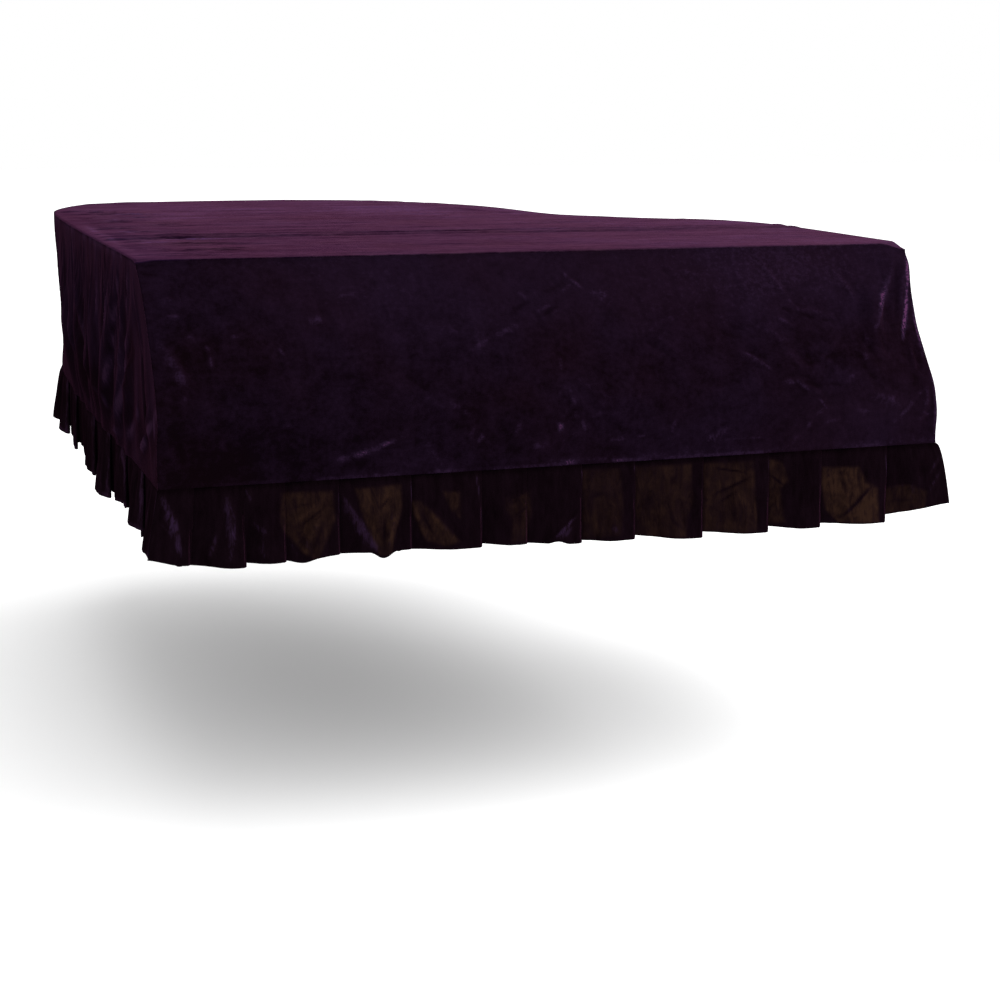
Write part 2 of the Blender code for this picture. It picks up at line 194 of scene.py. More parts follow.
# Folds of the front flounce between its pleats
FLOUNCE_CREASES = table(
    Crease,
    (-748, 0, -716, 130, 4, 16, 5.5), (-634, 4, -630, 136, -2, 18, 6), (-655, 70, -670, 130, 0, 10, 3),
    (-575, 60, -570, 136, 0, 14, 4), (-505, 135, -470, 50, 3, 10, 3.5), (-536, 90, -458, 26, 3, 8, 2.8),
    (-436, 20, -366, 142, -8, 14, 6), (-330, 40, -358, 142, -4, 12, 5), (-357, 60, -361, 142, 0, 8, -3),
    (-307, 50, -276, 130, 0, 10, 3.5), (-291, 52, -230, 130, 4, 10, 3.5), (-138, 60, -88, 40, 0, 6, 2),
    (-129, 92, -84, 64, 0, 6, 2), (-52, 138, 8, 86, 0, 6, 3), (268, 22, 340, 34, 0, 5, -2),
    (266, 76, 352, 40, 0, 6, -2.4), (278, 92, 322, 64, 0, 6, -2), (604, 70, 534, 138, 0, 8, 3.2),
    (722, 62, 756, 16, 0, 8, 3), (718, 100, 762, 40, 0, 8, 3), (690, 140, 700, 20, 4, 20, 5),
)

# Small creases strewn over an area, at a heading in degrees that is uneven by the spread.
Strewn = namedtuple(
    "Strewn", "count seed left right upper lower shortest longest narrowest widest height heading spread")
TOP_STREWN = table(
    Strewn,
    (60, 21, -750, 550, 20, 1700, 60, 260, 10, 22, 1.1, 0, 30),
    (90, 22, -770, -600, 30, 1500, 50, 160, 6, 13, 2.8, 5, 22),
)
FRONT_STREWN = table(
    Strewn,
    (150, 31, -750, 720, 10, 350, 30, 100, 5, 11, 1.6, 20, 70),
    (30, 32, -720, 660, 30, 330, 100, 220, 14, 28, 3, 25, 60),
)
# Its right end is set to the treble end of the strip, less the clear stretch.
SIDE_STREWN = table(Strewn, (150, 41, 20, 0, 6, 50, 80, 300, 5, 12, 2.6, 90, 5))
SIDE_STREWN_CLEAR = 0.15

# A crease's crest falls off by this power. Its trough lies this many half-widths beside it.
CREST_SHARPNESS = 1.7
TROUGH_SHARE, TROUGH_PLACE = 0.35, 1.3

# Soft unevenness: how strong, and how far apart its lumps are. In metres where it moves the cloth.
Wave = namedtuple("Wave", "strength across_pitch down_pitch seed")
TOP_WAVES = table(Wave, (0.0014, 300, 55, 23), (0.0006, 110, 21, 24))
TOP_MOTTLE = table(Wave, (0.5, 350, 50, 25), (0.5, 100, 26, 26))
FRONT_WAVES = table(Wave, (0.0016, 90, 70, 33), (0.0007, 35, 30, 34))
FRONT_MOTTLE = table(Wave, (0.30, 160, 120, 35))
SEAM_BREAK_LEVEL, RIM_BREAK_LEVEL = 0.6, 0.55
SEAM_BREAKS = table(Wave, (1.4, 50, 1000, 36))
SIDE_WAVES = table(Wave, (0.0010, 40, 220, 43))
SIDE_MOTTLE = table(Wave, (0.5, 30, 220, 44))
RIM_BREAKS = table(Wave, (1.0, 35, 1000, 45))
FLOUNCE_WAVES = table(Wave, (0.0012, 24, 60, 51), (0.0007, 10, 16, 52))
SIDE_FLOUNCE_WAVES = table(Wave, (0.0030, 30, 110, 61), (0.0012, 12, 50, 62))

# Places where a mark is stronger or weaker. It takes its shape from where the place starts or has
# its middle, over its reach, which is negative where it grows towards -X or the lid.
Zone = namedtuple(
    "Zone", "strength across_shape across across_reach down_shape down down_reach",
    defaults=(level, 0.0, 1.0))
# Painted light and shade on the top: lighter towards the treble side and the tail, darker near the bass front
# corner and along the bass edge.
TOP_PAINTED_LIGHT_AND_SHADE = table(
    Zone,
    (0.5, smooth, -200, 800),
    (-0.7, smooth, -100, -400, smooth, 450, -300),
    (0.6, level, 0, 1, smooth, 900, 500),
    (-1.3, smooth, -660, -70),
    (-1.0, smooth, -600, -120, smooth, 900, 300),
)
# Painted sheen on the top: a lilac cast towards the treble side, towards the tail and along the front of the
# bass edge.
TOP_PAINTED_SHEEN = table(
    Zone,
    (0.10, smooth, -200, 800),
    (0.07, level, 0, 1, smooth, 1100, 400),
    (0.12, smooth, -620, -100, smooth, 950, -300),
)
# Unevenness that lies only in a zone: the bass edge of the top, and its far half.
TOP_PATCHES = (
    (table(Wave, (0.9, 20, 40, 27)), table(Zone, (1.0, smooth, -640, -60))),
    (table(Wave, (0.9, 120, 200, 28)), table(Zone, (1.0, level, 0, 1, smooth, 750, 300))),
)
# Painted light and shade on the front: lighter along its upper slope, its upper treble half and in a line
# along its hem, darker low on the bass side.
FRONT_PAINTED_LIGHT_AND_SHADE = table(
    Zone,
    (0.225, smooth, -660, 300, smooth, 190, -140),
    (-0.45, smooth, -450, -200, smooth, 50, 100),
    (-0.60, smooth, -400, -250, smooth, 240, 80),
    (0.60, bump, 460, 340, smooth, 190, -100),
    (0.5, smooth, -300, 500, bump, 359.5, 10),
)
# Painted sheen on the front: a lilac cast along its upper slope and low towards its treble end.
FRONT_PAINTED_SHEEN = table(
    Zone,
    (0.15, smooth, -660, 300, smooth, 190, -140),
    (0.13, bump, 580, 240, bump, 310, 90),
    (0.05, smooth, 0, 300, smooth, 200, 100),
)
# Painted highlights along the front's hem and along the top of the side strip, broken by unevenness
FRONT_HEM_HIGHLIGHT = table(Zone, (1.5, smooth, -700, 100, smooth, 361, 4))
SIDE_RIM_HIGHLIGHT = table(Zone, (1.6, level, 0, 1, smooth, 22, -22))
# Painted shade on the side strip: darker low down towards the seam, and more so further back from its front
# corner.
SIDE_PAINTED_SHADE = table(Zone, (-1.0, level, 0, 1, smooth, 210, 90), (-0.9, smooth, 100, 500, smooth, 210, 90))

# Hanging folds of the bass side. y is where a fold leaves the lid, back from its front edge, and
# lean is how far its foot lies behind that. They draw together over the middle of the side.
SideFold = namedtuple("SideFold", "y lean half_width height")
BASS_FOLDS = table(
    SideFold,
    (-85, -60, 50, 10),
    (30, 150, 50, 12),
    (150, 140, 52, 14),
    (265, 200, 64, 20),
    (420, 80, 50, 10),
    (565, 10, 58, 14),
    (700, -60, 50, 10),
    (860, -150, 72, 20),
    (1010, -170, 50, 11),
    (1165, -220, 78, 16),
)
FAR_HOLLOW = SideFold(1.420, 0.000, 0.210, 0.013)
BASS_LENGTH = 1.45
CORNER_FADE = 0.12
HIDDEN_FOLD_PITCH = 0.150
HIDDEN_FOLD_HEIGHT = 0.017
HIDDEN_FOLD_LEAN = 0.045
HIDDEN_FOLDS_CLEAR = 0.08
SEAM_SHARE = 0.35

# How far the cloth sinks over the lid's front corners, and how far round them and down it does.
Corner = namedtuple("Corner", "x sink width")
FRONT_CORNERS = table(
    Corner,
    (-750, 3.5, 35),
    (750, 12, 55),
)
CORNER_DEPTH = 0.05

# The crease across the top, over the hinge of the lid's front flap.
CREASE_Y_BASS = 0.515
CREASE_Y_TREBLE = 0.475
CREASE_BAND = 0.032
CREASE_LIFT = 0.0035

# How far the top stands off its flat at least, how far it may sink, and how many rows from a
# sheet's rim its relief fades out.
TOP_RISE = 0.0012
TOP_SINK = 0.0002
TOP_FADE_STEPS = 5
FRONT_FADE_STEPS = 6
# How high strokes lift the cloth, and from which strength on they lift it no further
STROKE_LIFT = 0.0012
STROKE_LIFT_LIMIT = 1.3
# How much the front's strokes of painted highlight and shade show in its colour
FRONT_STROKE_SHARE = 1.35
# How near its upper and lower rims the relief of the side strip fades out, and below the seam that
# of its flounce
SIDE_RIM = 0.02
# The height of crease that adds one step of painted highlight on its crest, or of painted shade in its
# trough, to the nap mark
TOP_STEP = 0.004
FRONT_STEP = 0.0045
SIDE_STEP = 0.006
FLOUNCE_STEP = 0.005
SIDE_FLOUNCE_STEP = 0.003

# Knife pleats. edge is a pleat's outer fold: x along the front, y back from the lid's front edge
# along the bass side. tuck is the cloth folded under it. The hem hangs at hem_start below the
# seam where the run to that fold begins, and at hem_edge at the fold. swell is how much further
# out than its neighbours a run stands. The last row of each table is the run that ends at the
# corner.
Pleat = namedtuple("Pleat", "edge tuck hem_start hem_edge swell", defaults=(0.0,))
FRONT_PLEATS = table(
    Pleat,
    (-690, 16, 116, 130),
    (-605, 20, 133, 141),
    (-535, 18, 136, 137),
    (-440, 24, 139, 130),
    (-310, 26, 133, 130),
    (-180, 24, 134, 136),
    (-95, 18, 132, 136),
    (10, 26, 138, 142),
    (114, 26, 140, 142),
    (250, 25, 138, 149),
    (384, 28, 141, 148),
    (494, 22, 139, 146),
    (635, 22, 142, 146),
    (751, 0, 137, 117),
)
BASS_PLEATS = table(
    Pleat,
    (1360, 36, 122, 128, 16),
    (1160, 36, 122, 126, -1),
    (930, 30, 114, 122, -14),
    (630, 36, 112, 124, -10),
    (420, 36, 122, 130, -3),
    (200, 38, 122, 102, -6),
    (10, 30, 112, 106, 4),
    (-160, 0, 124, 112, 0),
)
# Where the front hem dips or lifts between its pleats: x, how far each way, and how much lower.
HemDip = namedtuple("HemDip", "x half_width lower")
HEM_DIPS = table(HemDip, (-506, 30, 6), (-362, 26, 11), (-36, 22, -5))
HIDDEN_HEM_START, HIDDEN_HEM_EDGE = 0.132, 0.139
TREBLE_HEM_START = 0.117
HIDDEN_PLEAT_START = 0.02
HIDDEN_PLEAT_PITCH = 0.155
HIDDEN_PLEAT_TUCK = 0.034
LAYER_PITCH = 0.0034
FRONT_OPENING = 0.011
SIDE_OPENING = 0.009
FRONT_FLARE = 0.010
SIDE_FLARE = 0.009
CORNER_SPREAD_BASS = 0.022
CORNER_SPREAD_TREBLE = 0.031
CORNER_SPREAD_WIDTH = 0.12

# How far a run of pleat bellies out, and how uneven that is from run to run
FRONT_BILLOW, FRONT_BILLOW_SPREAD = 0.005, 0.003
SIDE_BILLOW, SIDE_BILLOW_SPREAD = 0.008, 0.005
SIDE_BILLOW_CLEAR = 0.05
SIDE_PINCH = 0.004
# How far below the seam and from a corner the front flounce's relief reaches its full height, and
# how far from a corner the side's does
FRONT_RIM, FRONT_RIM_ENDS = 0.012, 0.015
SIDE_RIM_ENDS = 0.03
# Painted shade under the seam and on the folded and the far cloth of the side, and painted glints on its
# folds and its hem
SEAM_SHADE, SEAM_SHADE_WIDTH = 1.3, 0.014
SIDE_SHADE, LAYER_SHADE, FAR_SHADE, SHADE_DEPTH = 0.6, 0.9, 0.5, 0.05
FAR_FROM, FAR_REACH = 0.6, 0.3
FOLD_GLINT, HEM_GLINT = 1.6, 0.9

# Steps along one pleat: its run to the next fold, the cloth folded under, and a turned edge.
RUN_SPACING = 0.0030
SIDE_RUN_SPACING = 0.0060
TUCK_STEPS = 4
TURN_STEPS = 6
SHOWN_WIDTH = 0.008

# Painted light: where light from behind, coming through a single layer of the front flounce, is painted into
# its colour, how strongly, and the outline of the place, as x and the drop below the seam, in millimetres.
BACKLIGHT_PLACES = (
    (0.52, (-540, 19), (-452, 20), (-449, 70), (-465, 103), (-483, 137), (-505, 123), (-536, 87),
     (-544, 69)),
    (0.6, (-409, 20), (-329, 16), (-329, 52), (-342, 110), (-352, 140), (-370, 135), (-393, 80)),
    (0.5, (-308, 48), (-291, 50), (-264, 77), (-225, 123), (-249, 129), (-282, 119), (-300, 80)),
    (0.5, (-251, 34), (-222, 36), (-222, 81), (-237, 67)),
    (0.26, (-135, 53), (-86, 43), (-84, 86), (-98, 132), (-128, 130), (-123, 92), (-138, 70)),
    (0.24, (13, 12), (84, 12), (89, 76), (84, 133), (16, 138)),
    (0.34, (117, 12), (225, 12), (227, 83), (216, 111), (213, 145), (120, 142)),
    (0.4, (252, 14), (352, 14), (356, 84), (359, 146), (254, 142)),
    (0.48, (386, 12), (414, 21), (424, 55), (408, 69), (418, 132), (386, 138), (389, 93)),
    (1, (500, 36), (573, 38), (587, 65), (612, 80), (616, 146), (537, 142), (511, 116), (501, 67)),
    (0.4, (636, 83), (683, 78), (718, 92), (711, 128), (636, 134)),
)
BACKLIGHT_SOFTNESS = 0.009
# What the strokes and the relief add to that painted light, and the most there is of it
BACKLIGHT_STROKE_SHARE = 1.7
BACKLIGHT_PER_METRE = 40.0
BACKLIGHT_LIMIT = 1.4

# Strokes of painted lilac highlight, and of painted shade where one is negative. A row is a
# half-width, a strength and the points that its strokes run through, as across and down of the
# creases.
Stroke = namedtuple("Stroke", "across down to_across to_down half_width strength")


def stroke_table(*rows):
    """Strokes from rows of numbers. Lengths are written in millimetres and kept in metres."""
    strokes = []
    for half_width, strength, *line in rows:
        line = [value / 1000.0 for value in line]
        for first in range(0, len(line) - 2, 2):
            strokes.append(Stroke(*line[first:first + 4], half_width / 1000.0, strength))
    return tuple(strokes)


# Painted highlights on the front flounce
FLOUNCE_HIGHLIGHT_STROKES = stroke_table(
    (9, 1.5, -748, 0, -733, 45), (12, 1.8, -736, 35, -722, 85), (8, 1.5, -727, 75, -716, 122),
    (4, 1, -753, 50, -732, 78), (10, 1.2, -635, 8, -629, 62), (12, 1.5, -630, 45, -627, 104),
    (8, 0.7, -629, 95, -633, 132), (6, 1.2, -653, 79, -668, 126), (5, 1.3, -604, 1, -592, 34),
    (11, 0.9, -580, 105, -568, 134), (10, 0.9, -520, 104, -516, 136), (9, 0.6, -600, 60, -560, 90),
    (6, 0.9, -435, 25, -408, 67), (12, 1.6, -413, 58, -385, 104), (9, 1.4, -392, 90, -370, 136),
    (3, 0.9, -441, 6, -440, 84), (4, 2.4, -50, 136, 4, 88), (9, 1.5, -40, 137, -2, 106),
    (10, 1.2, 71, 114, 71, 134), (8, 0.6, 216, 40, 216, 140), (6, 1.1, 722, 62, 752, 20),
    (5, 1, 720, 96, 758, 40), (5, 0.7, 735, 122, 746, 80), (3, 1.6, -311, 2, -310, 56),
    (3, 1.8, -190, 2, -183, 65), (3, 1.6, -183, 60, -178, 130), (3, 1.8, 9, 2, 10, 36),
    (3, 1.8, 113, 2, 114, 24), (3, 1.9, 383, 4, 385, 40), (3, 1.2, 490, 10, 490, 80), (3, 2, 630, 4, 634, 84),
    (3, 0.8, -114, 8, -114, 30), (3.5, 1, 635, 82, 685, 78),
)
# Painted highlights and painted shade on the front panel
FRONT_LIGHT_AND_SHADE_STROKES = stroke_table(
    (9, 1.1, 700, 56, 662, 118), (10, 1.5, 679, 86, 652, 140), (8, 1.3, 658, 132, 628, 160),
    (9, 1.1, 619, 163, 603, 188, 596, 215), (6, 3.5, 749, 55, 726, 140), (6, 3.2, 730, 125, 704, 182),
    (6, -1.2, 446, 107, 473, 117, 525, 132, 559, 136), (6, -1.2, 465, 211, 506, 201, 548, 192),
    (6, -1, 447, 240, 488, 244, 535, 245), (5, 0.9, 427, 121, 466, 144), (5, 1, 336, 179, 376, 199, 399, 221),
    (5, 1.2, 406, 237, 439, 240, 468, 258, 501, 293), (9, 1, 539, 244, 571, 228),
    (9, 1.1, 457, 329, 467, 299, 496, 282), (8, 1.1, 484, 315, 530, 309), (8, 1, 551, 295, 602, 298),
    (4, 1.2, 254, 340, 270, 318), (4, 1.2, 264, 342, 281, 314), (4, 1.1, 276, 341, 295, 309),
    (5, -1, 255, 319, 310, 300), (4, 0.9, 286, 338, 334, 336, 380, 338), (5, 0.9, 419, 360, 445, 333),
    (7, 1.1, 180, 319, 198, 282), (22, -0.7, 277, 109, 324, 89), (14, -0.8, 300, 148, 339, 157),
    (14, -1, 435, 212, 453, 209), (5, 0.9, 467, 92, 478, 107), (7, -1.3, 20, 53, -45, 76, -106, 103),
    (5, 1.2, 52, 65, 27, 47, 21, 35), (5, 1.1, 3, 73, 32, 53), (6, 1.1, 58, 71, 98, 72),
    (5, 1.1, 73, 89, 100, 72), (5, -1.5, -46, 110, -6, 92), (6, 1, -56, 103, -8, 85),
    (8, 0.9, -195, 163, -144, 139, -79, 118), (8, 1, -80, 66, -60, 75), (5, 1, -23, 176, -22, 200),
    (6, -0.7, -21, 140, -27, 181), (7, 1, -250, 242, -219, 254, -203, 269), (8, 1, -204, 315, -195, 280),
    (9, 1, -193, 323, -172, 292), (8, 1.1, -123, 310, -106, 280), (13, 2, -42, 297, -26, 293),
    (6, 1.3, 4, 283, 16, 308), (9, 0.9, 24, 277, 56, 271), (7, 0.9, -16, 237, -6, 259),
    (9, 1.1, -92, 331, -53, 325), (14, -0.9, -133, 329, -99, 339), (18, -0.7, 7, 335, 113, 352),
    (5, 1, 53, 324, 100, 323, 148, 317), (9, 1.7, -34, 363, 8, 361), (6, 1.2, 67, 365, 92, 364),
    (6, 1.3, 121, 367, 148, 367), (14, -0.7, -267, 309, -248, 336), (6, 1.1, -723, 64, -701, 61),
    (6, 1.1, -716, 88, -691, 86), (10, 0.9, -701, 112, -658, 131), (7, 1.5, -658, 132, -652, 149, -653, 173),
    (7, 0.9, -625, 100, -620, 129), (8, 1, -620, 129, -590, 117), (10, 0.9, -741, 118, -730, 146),
    (13, 1.3, -731, 143, -715, 170), (15, 1.5, -716, 165, -701, 200), (13, 0.9, -702, 197, -706, 235),
    (4, 1.2, -536, 138, -524, 155), (11, 1.1, -477, 103, -438, 97), (5, 0.9, -418, 66, -358, 58),
    (8, 1, -543, 271, -523, 263), (5, 0.9, -497, 277, -493, 324), (9, 1.2, -645, 283, -640, 310),
    (9, 1.8, -448, 335, -416, 328), (8, 1.6, -417, 329, -384, 319), (6, 1.4, -385, 320, -336, 299),
    (4, 1, -747, 337, -719, 317), (18, -0.8, -702, 129, -686, 157), (20, -0.9, -652, 332, -614, 339),
    (18, -0.8, -518, 329, -497, 346), (14, -0.8, -447, 349, -366, 336), (6, 3.6, 749, 10, 744, 80),
    (6, 1, 733, 260, 707, 275), (7, 1.1, 707, 275, 640, 326), (5, 1, 746, 306, 721, 312),
    (11, 0.4, 645, 272, 620, 295), (11, 2, 740, 95, 716, 165), (5, 2.8, 752, 85, 744, 220),
    (5, 2.6, 751, 210, 748, 362), (12, -0.8, 729, 20, 705, 150), (12, -0.8, 727, 215, 700, 262),
)
# Painted highlight and shade strokes on the bass side
SIDE_LIGHT_AND_SHADE_STROKES = stroke_table(
    (14, 2, 229, 40, 250, 91, 293, 145), (14, 2.2, 290, 151, 306, 191, 384, 281, 390, 318),
    (32, 1.2, 326, 99, 380, 200), (12, 1.3, 501, 61, 536, 173), (25, 1.3, 83, 21, 116, 65, 116, 107),
    (32, 1.6, 88, 122, 103, 180, 169, 228), (17, 3, 161, 221, 254, 319),
    (9, 1.4, -96, 20, -135, 52, -151, 100), (9, 1.8, -155, 99, -199, 127, -217, 207),
    (14, 3.4, -217, 207, -163, 251, -79, 294, 8, 332), (9, 2.8, -160, 225, -152, 300),
    (9, 2.4, -152, 290, -140, 360), (20, 2.2, 19, 254, 46, 282, 166, 342), (14, 2.2, 348, 341, 231, 337),
    (12, 1.5, 630, 256, 598, 282, 445, 337), (27, 1.3, -96, 179, -45, 233), (14, 1.2, 710, 329, 653, 365),
    (16, -1.8, 197, 31, 221, 94), (22, -2.2, 217, 94, 214, 148, 262, 216), (22, -2, 266, 214, 369, 312),
    (22, -1.9, 32, 144, 103, 195, 117, 233, 197, 310), (35, -2.2, -92, 237, -44, 279, 58, 329),
    (28, -1.2, 449, 98, 443, 162, 497, 215), (35, -1.5, 497, 215, 467, 327), (29, -1.8, 856, 195, 716, 306),
    (24, -1.5, 984, 246, 789, 305), (14, -1.6, -197, 257, -119, 324), (12, -1, 160, 31, 165, 88),
)
# Painted highlights on the bass flounce
SIDE_FLOUNCE_HIGHLIGHT_STROKES = stroke_table(
    (14, 2.2, 380, 120, 215, 104), (10, 1.8, 1260, 114, 1165, 124), (20, 2, 260, -10, 200, 50),
    (18, 1.8, 120, 0, 100, 80), (16, 1.8, 20, 10, -10, 100), (14, 2.4, -90, 0, -120, 80),
    (14, 1.2, 560, 20, 500, 110), (14, 1, 800, 20, 740, 100),
)
# Painted shade along the crease over the hinge and in other creases and rims of the top, painted highlights
# beside that crease and along the bass edge
TOP_LIGHT_AND_SHADE_STROKES = stroke_table(
    (26, -3, -740, 530, -620, 512), (16, -2.8, -650, 512, -400, 507), (13, -2.6, -430, 508, 110, 522),
    (13, -2.6, 90, 494, 510, 476), (13, -2.4, 470, 474, 760, 479), (30, 1, -620, 580, -300, 568),
    (30, 1.4, -320, 568, 110, 580), (26, 0.9, 90, 548, 480, 532), (18, 2.4, -728, 960, -730, 570),
    (18, 2.6, -726, 690, -732, 330), (18, 2.6, -734, 430, -734, 10), (5, -2.2, -757, 860, -757, 60),
    (24, 1.8, -735, 770, -640, 630), (24, 1.7, -735, 385, -570, 366), (22, 1.7, -725, 150, -580, 130),
    (26, 1.4, -700, 450, -420, 440), (18, -1.6, -740, 275, -690, 220), (20, -1.6, -701, 221, -610, 172),
    (45, -1.6, -660, 1020, -580, 970), (30, -1, -440, 924, -350, 924), (12, -2.2, -230, 112, -165, 70),
    (30, -3, 225, 1360, 318, 1090), (24, -2, 443, 918, 485, 860), (12, -1.8, 735, 510, 752, 300),
)
# Creases where more or less of the painted light from behind shows
BACKLIGHT_STROKES = stroke_table(
    (5, 0.25, -536, 87, -461, 27), (4, -0.25, -526, 90, -456, 40), (5, 0.25, -505, 135, -476, 60),
    (5, -0.3, -495, 135, -466, 66), (4, -0.2, -540, 52, -480, 36), (3.5, -0.4, -372, 61, -346, 34),
    (5, 0.2, -385, 75, -363, 132), (5, -0.35, -358, 66, -362, 124), (5, 0.25, -338, 54, -357, 130),
    (5, -0.3, -330, 70, -346, 128), (6, 0.3, -307, 51, -279, 122), (5, -0.3, -296, 60, -262, 122),
    (7, 0.25, -289, 52, -233, 126), (3.5, -0.3, -138, 59, -88, 39), (3.5, -0.3, -129, 92, -86, 63),
    (5, 0.3, 37, 72, 39, 132), (6, -0.2, 20, 66, 60, 50), (6, 0.2, 130, 120, 170, 112),
    (6, -0.25, 180, 104, 205, 132), (3.5, -0.35, 268, 22, 340, 34), (4.5, -0.4, 266, 76, 352, 40),
    (4, -0.3, 278, 92, 322, 64), (4, 0.3, 352, 80, 358, 140), (12, 0.15, 300, 50, 345, 100),
    (4, -0.4, 387, 40, 420, 66), (5.5, -0.85, 604, 70, 534, 138), (3.5, 0.45, 581, 104, 577, 142),
    (6, -0.3, 536, 38, 548, 90), (8, -0.15, 505, 80, 560, 100), (5, -0.2, 640, 110, 700, 106),
)

# Floor, light and camera
FLOOR_SIZE = 30.0
FLOOR_GREY = 0.94
SKY_LIGHT = 1.0
DAYLIGHT = 2.2
DAYLIGHT_FROM = (0.45, -0.35, 0.85)
WINDOW_PLACE, WINDOW_AIM = (3.2, -1.6, 0.9), (0.3, -1.0, -0.2)
WINDOW_SIZE = 1.6
WINDOW_WATTS = 60.0
LENS_MM, SENSOR_MM = 68.417, 36.0
CAMERA_PLACE = (-1.2191, -4.2061, 0.2812)
CAMERA_TURN, CAMERA_TILT, CAMERA_ROLL = -0.3305, 0.2097, 0.0048


def uneven(index, seed):
    """An uneven value between -1 and 1 for a numbered fold."""
    return 0.6 * np.sin(2.39 * index + seed) + 0.4 * np.sin(5.71 * index + 1.7 * seed)


def unit(vectors):
    return vectors / np.maximum(np.linalg.norm(vectors, axis=-1, keepdims=True), 1e-9)


class LidEdge:
    """The lid's edge seen from above, measured along its length."""

    def __init__(self):
        points = []
        starts = []
        for start, end in zip(LID_KNOTS, LID_KNOTS[1:]):
            starts.append(len(points))
            points += self.curve(start, end)[:-1]
        points.append(Vector((LID_KNOTS[-1].x, LID_KNOTS[-1].y)))
        self.points = np.array(points)
        steps = np.linalg.norm(np.diff(self.points, axis=0), axis=1)
        self.along = np.concatenate(([0.0], np.cumsum(steps)))
        self.length = self.along[-1]
        self.knot_along = [self.along[index] for index in starts]

    @staticmethod
    def curve(start, end):
        ends = [Vector((knot.x, knot.y)) for knot in (start, end)]
        reach = HANDLE_SHARE * (ends[1] - ends[0]).length
        ways = [Vector((cos(radians(k.heading)), sin(radians(k.heading)))) for k in (start, end)]
        handles = (ends[0] + ways[0] * reach, ends[1] - ways[1] * reach)
        return interpolate_bezier(ends[0], handles[0], handles[1], ends[1], EDGE_SAMPLES + 1)

    def place(self, along):
        """The points at distances along the edge. Past either end it runs straight forward."""
        x = np.interp(along, self.along, self.points[:, 0])
        y = np.interp(along, self.along, self.points[:, 1])
        past = np.minimum(along, 0.0) - np.maximum(along - self.length, 0.0)
        return np.stack((x, y + past), axis=-1)

    def outward(self, along):
        """The level directions that point away from the lid."""
        step = 0.006
        way = self.place(along + step) - self.place(along - step)
        return unit(np.stack((way[..., 1], -way[..., 0]), axis=-1))


EDGE = LidEdge()


def in_frame(across, back, height):
    """Points given from the lid's front edge, in the part's own frame."""
    return np.stack(np.broadcast_arrays(across, back - MOUNT_SETBACK, height), axis=-1)


def reach_at(drop):
    """The row of the reach table for any drop below the lid, blended with the rows beside it."""
    drops = [row.drop for row in FRONT_REACH]
    spread = np.minimum(REACH_BLEND, np.minimum(0.8 * drop, np.maximum(PANEL_DROP - drop, 0.0)))
    near = [drop + shift * spread for shift in (-1.0, -0.5, 0.0, 0.5, 1.0)]
    return Reach(*(sum(np.interp(spot, drops, column) for spot in near) / len(near)
                   for column in zip(*FRONT_REACH)))


def front_reach(side, drop):
    """How far out the front stands at a drop below the lid. side is 0 at the bass, 1 at the treble."""
    row = reach_at(drop)
    return mix(row.bass, row.treble, side)


def drawn_in(from_treble, drop):
    """How far cloth is drawn in from the treble side at a distance from that corner."""
    return reach_at(drop).drawn_in * smooth(1.0 - from_treble / DRAWN_IN_WIDTH)


def soft_noise(across, down, across_pitch, down_pitch, seed):
    """Smooth unevenness between -1 and 1, with its lumps about a pitch apart."""
    count = 128
    knots = np.random.default_rng(seed).uniform(-1.0, 1.0, (count, count))
    x, y = across / across_pitch, down / down_pitch
    i, j = np.floor(x).astype(int), np.floor(y).astype(int)
    s, t = smooth(x - i), smooth(y - j)
    i, j = i % count, j % count
    near = mix(knots[i, j], knots[(i + 1) % count, j], s)
    far = mix(knots[i, (j + 1) % count], knots[(i + 1) % count, (j + 1) % count], s)
    return mix(near, far, t)


def unevenness(across, down, waves):
    """All the soft unevenness of a table."""
    return sum(wave.strength * soft_noise(across, down, wave.across_pitch, wave.down_pitch, wave.seed)
               for wave in waves)


def zone_strength(across, down, zones):
    """How much of the zones falls on each place of a cloth."""
    strength = 0.0
    for zone in zones:
        share = zone.across_shape((across - zone.across) / zone.across_reach)
        strength = strength + zone.strength * share * zone.down_shape((down - zone.down) / zone.down_reach)
    return strength


def line_places(across, down, line):
    """Each place's share of the way along a line and its distance beside it, and how strong the
    line is there, which fades at its two ends.
    """
    run_x, run_y = line.to_across - line.across, line.to_down - line.down
    length = hypot(run_x, run_y)
    x, y = across - line.across, down - line.down
    ahead = (x * run_x + y * run_y) / length ** 2
    return ahead, (x * run_y - y * run_x) / length, np.sqrt(bump(2.0 * ahead - 1.0))


def crease_relief(across, down, creases):
    """Soft ridges, each with a shallow trough beside it."""
    relief = 0.0
    for crease in creases:
        ahead, beside, ends = line_places(across, down, crease)
        beside = (beside - crease.bow * 4.0 * ahead * (1.0 - ahead)) / crease.half_width
        crest = np.maximum(1.0 - np.abs(beside), 0.0) ** CREST_SHARPNESS
        trough = TROUGH_SHARE * bump(beside - TROUGH_PLACE)
        relief = relief + crease.height * ends * (crest - trough)
    return relief


def scattered(strewn):
    """The small uneven creases of a table of strewn ones."""
    creases = []
    for row in strewn:
        draw = np.random.default_rng(row.seed)
        for _ in range(row.count):
            x, y = draw.uniform(row.left, row.right), draw.uniform(row.upper, row.lower)
            length = draw.uniform(row.shortest, row.longest)
            angle = radians(row.heading + draw.uniform(-row.spread, row.spread))
            tall = row.height * draw.uniform(0.35, 1.0) * draw.choice((-1.0, 1.0))
            bow = length * draw.uniform(-0.12, 0.12)
            to_x, to_y = x + length * cos(angle), y + length * sin(angle)
            creases.append(Crease(x, y, to_x, to_y, bow, draw.uniform(row.narrowest, row.widest), tall))
    return creases


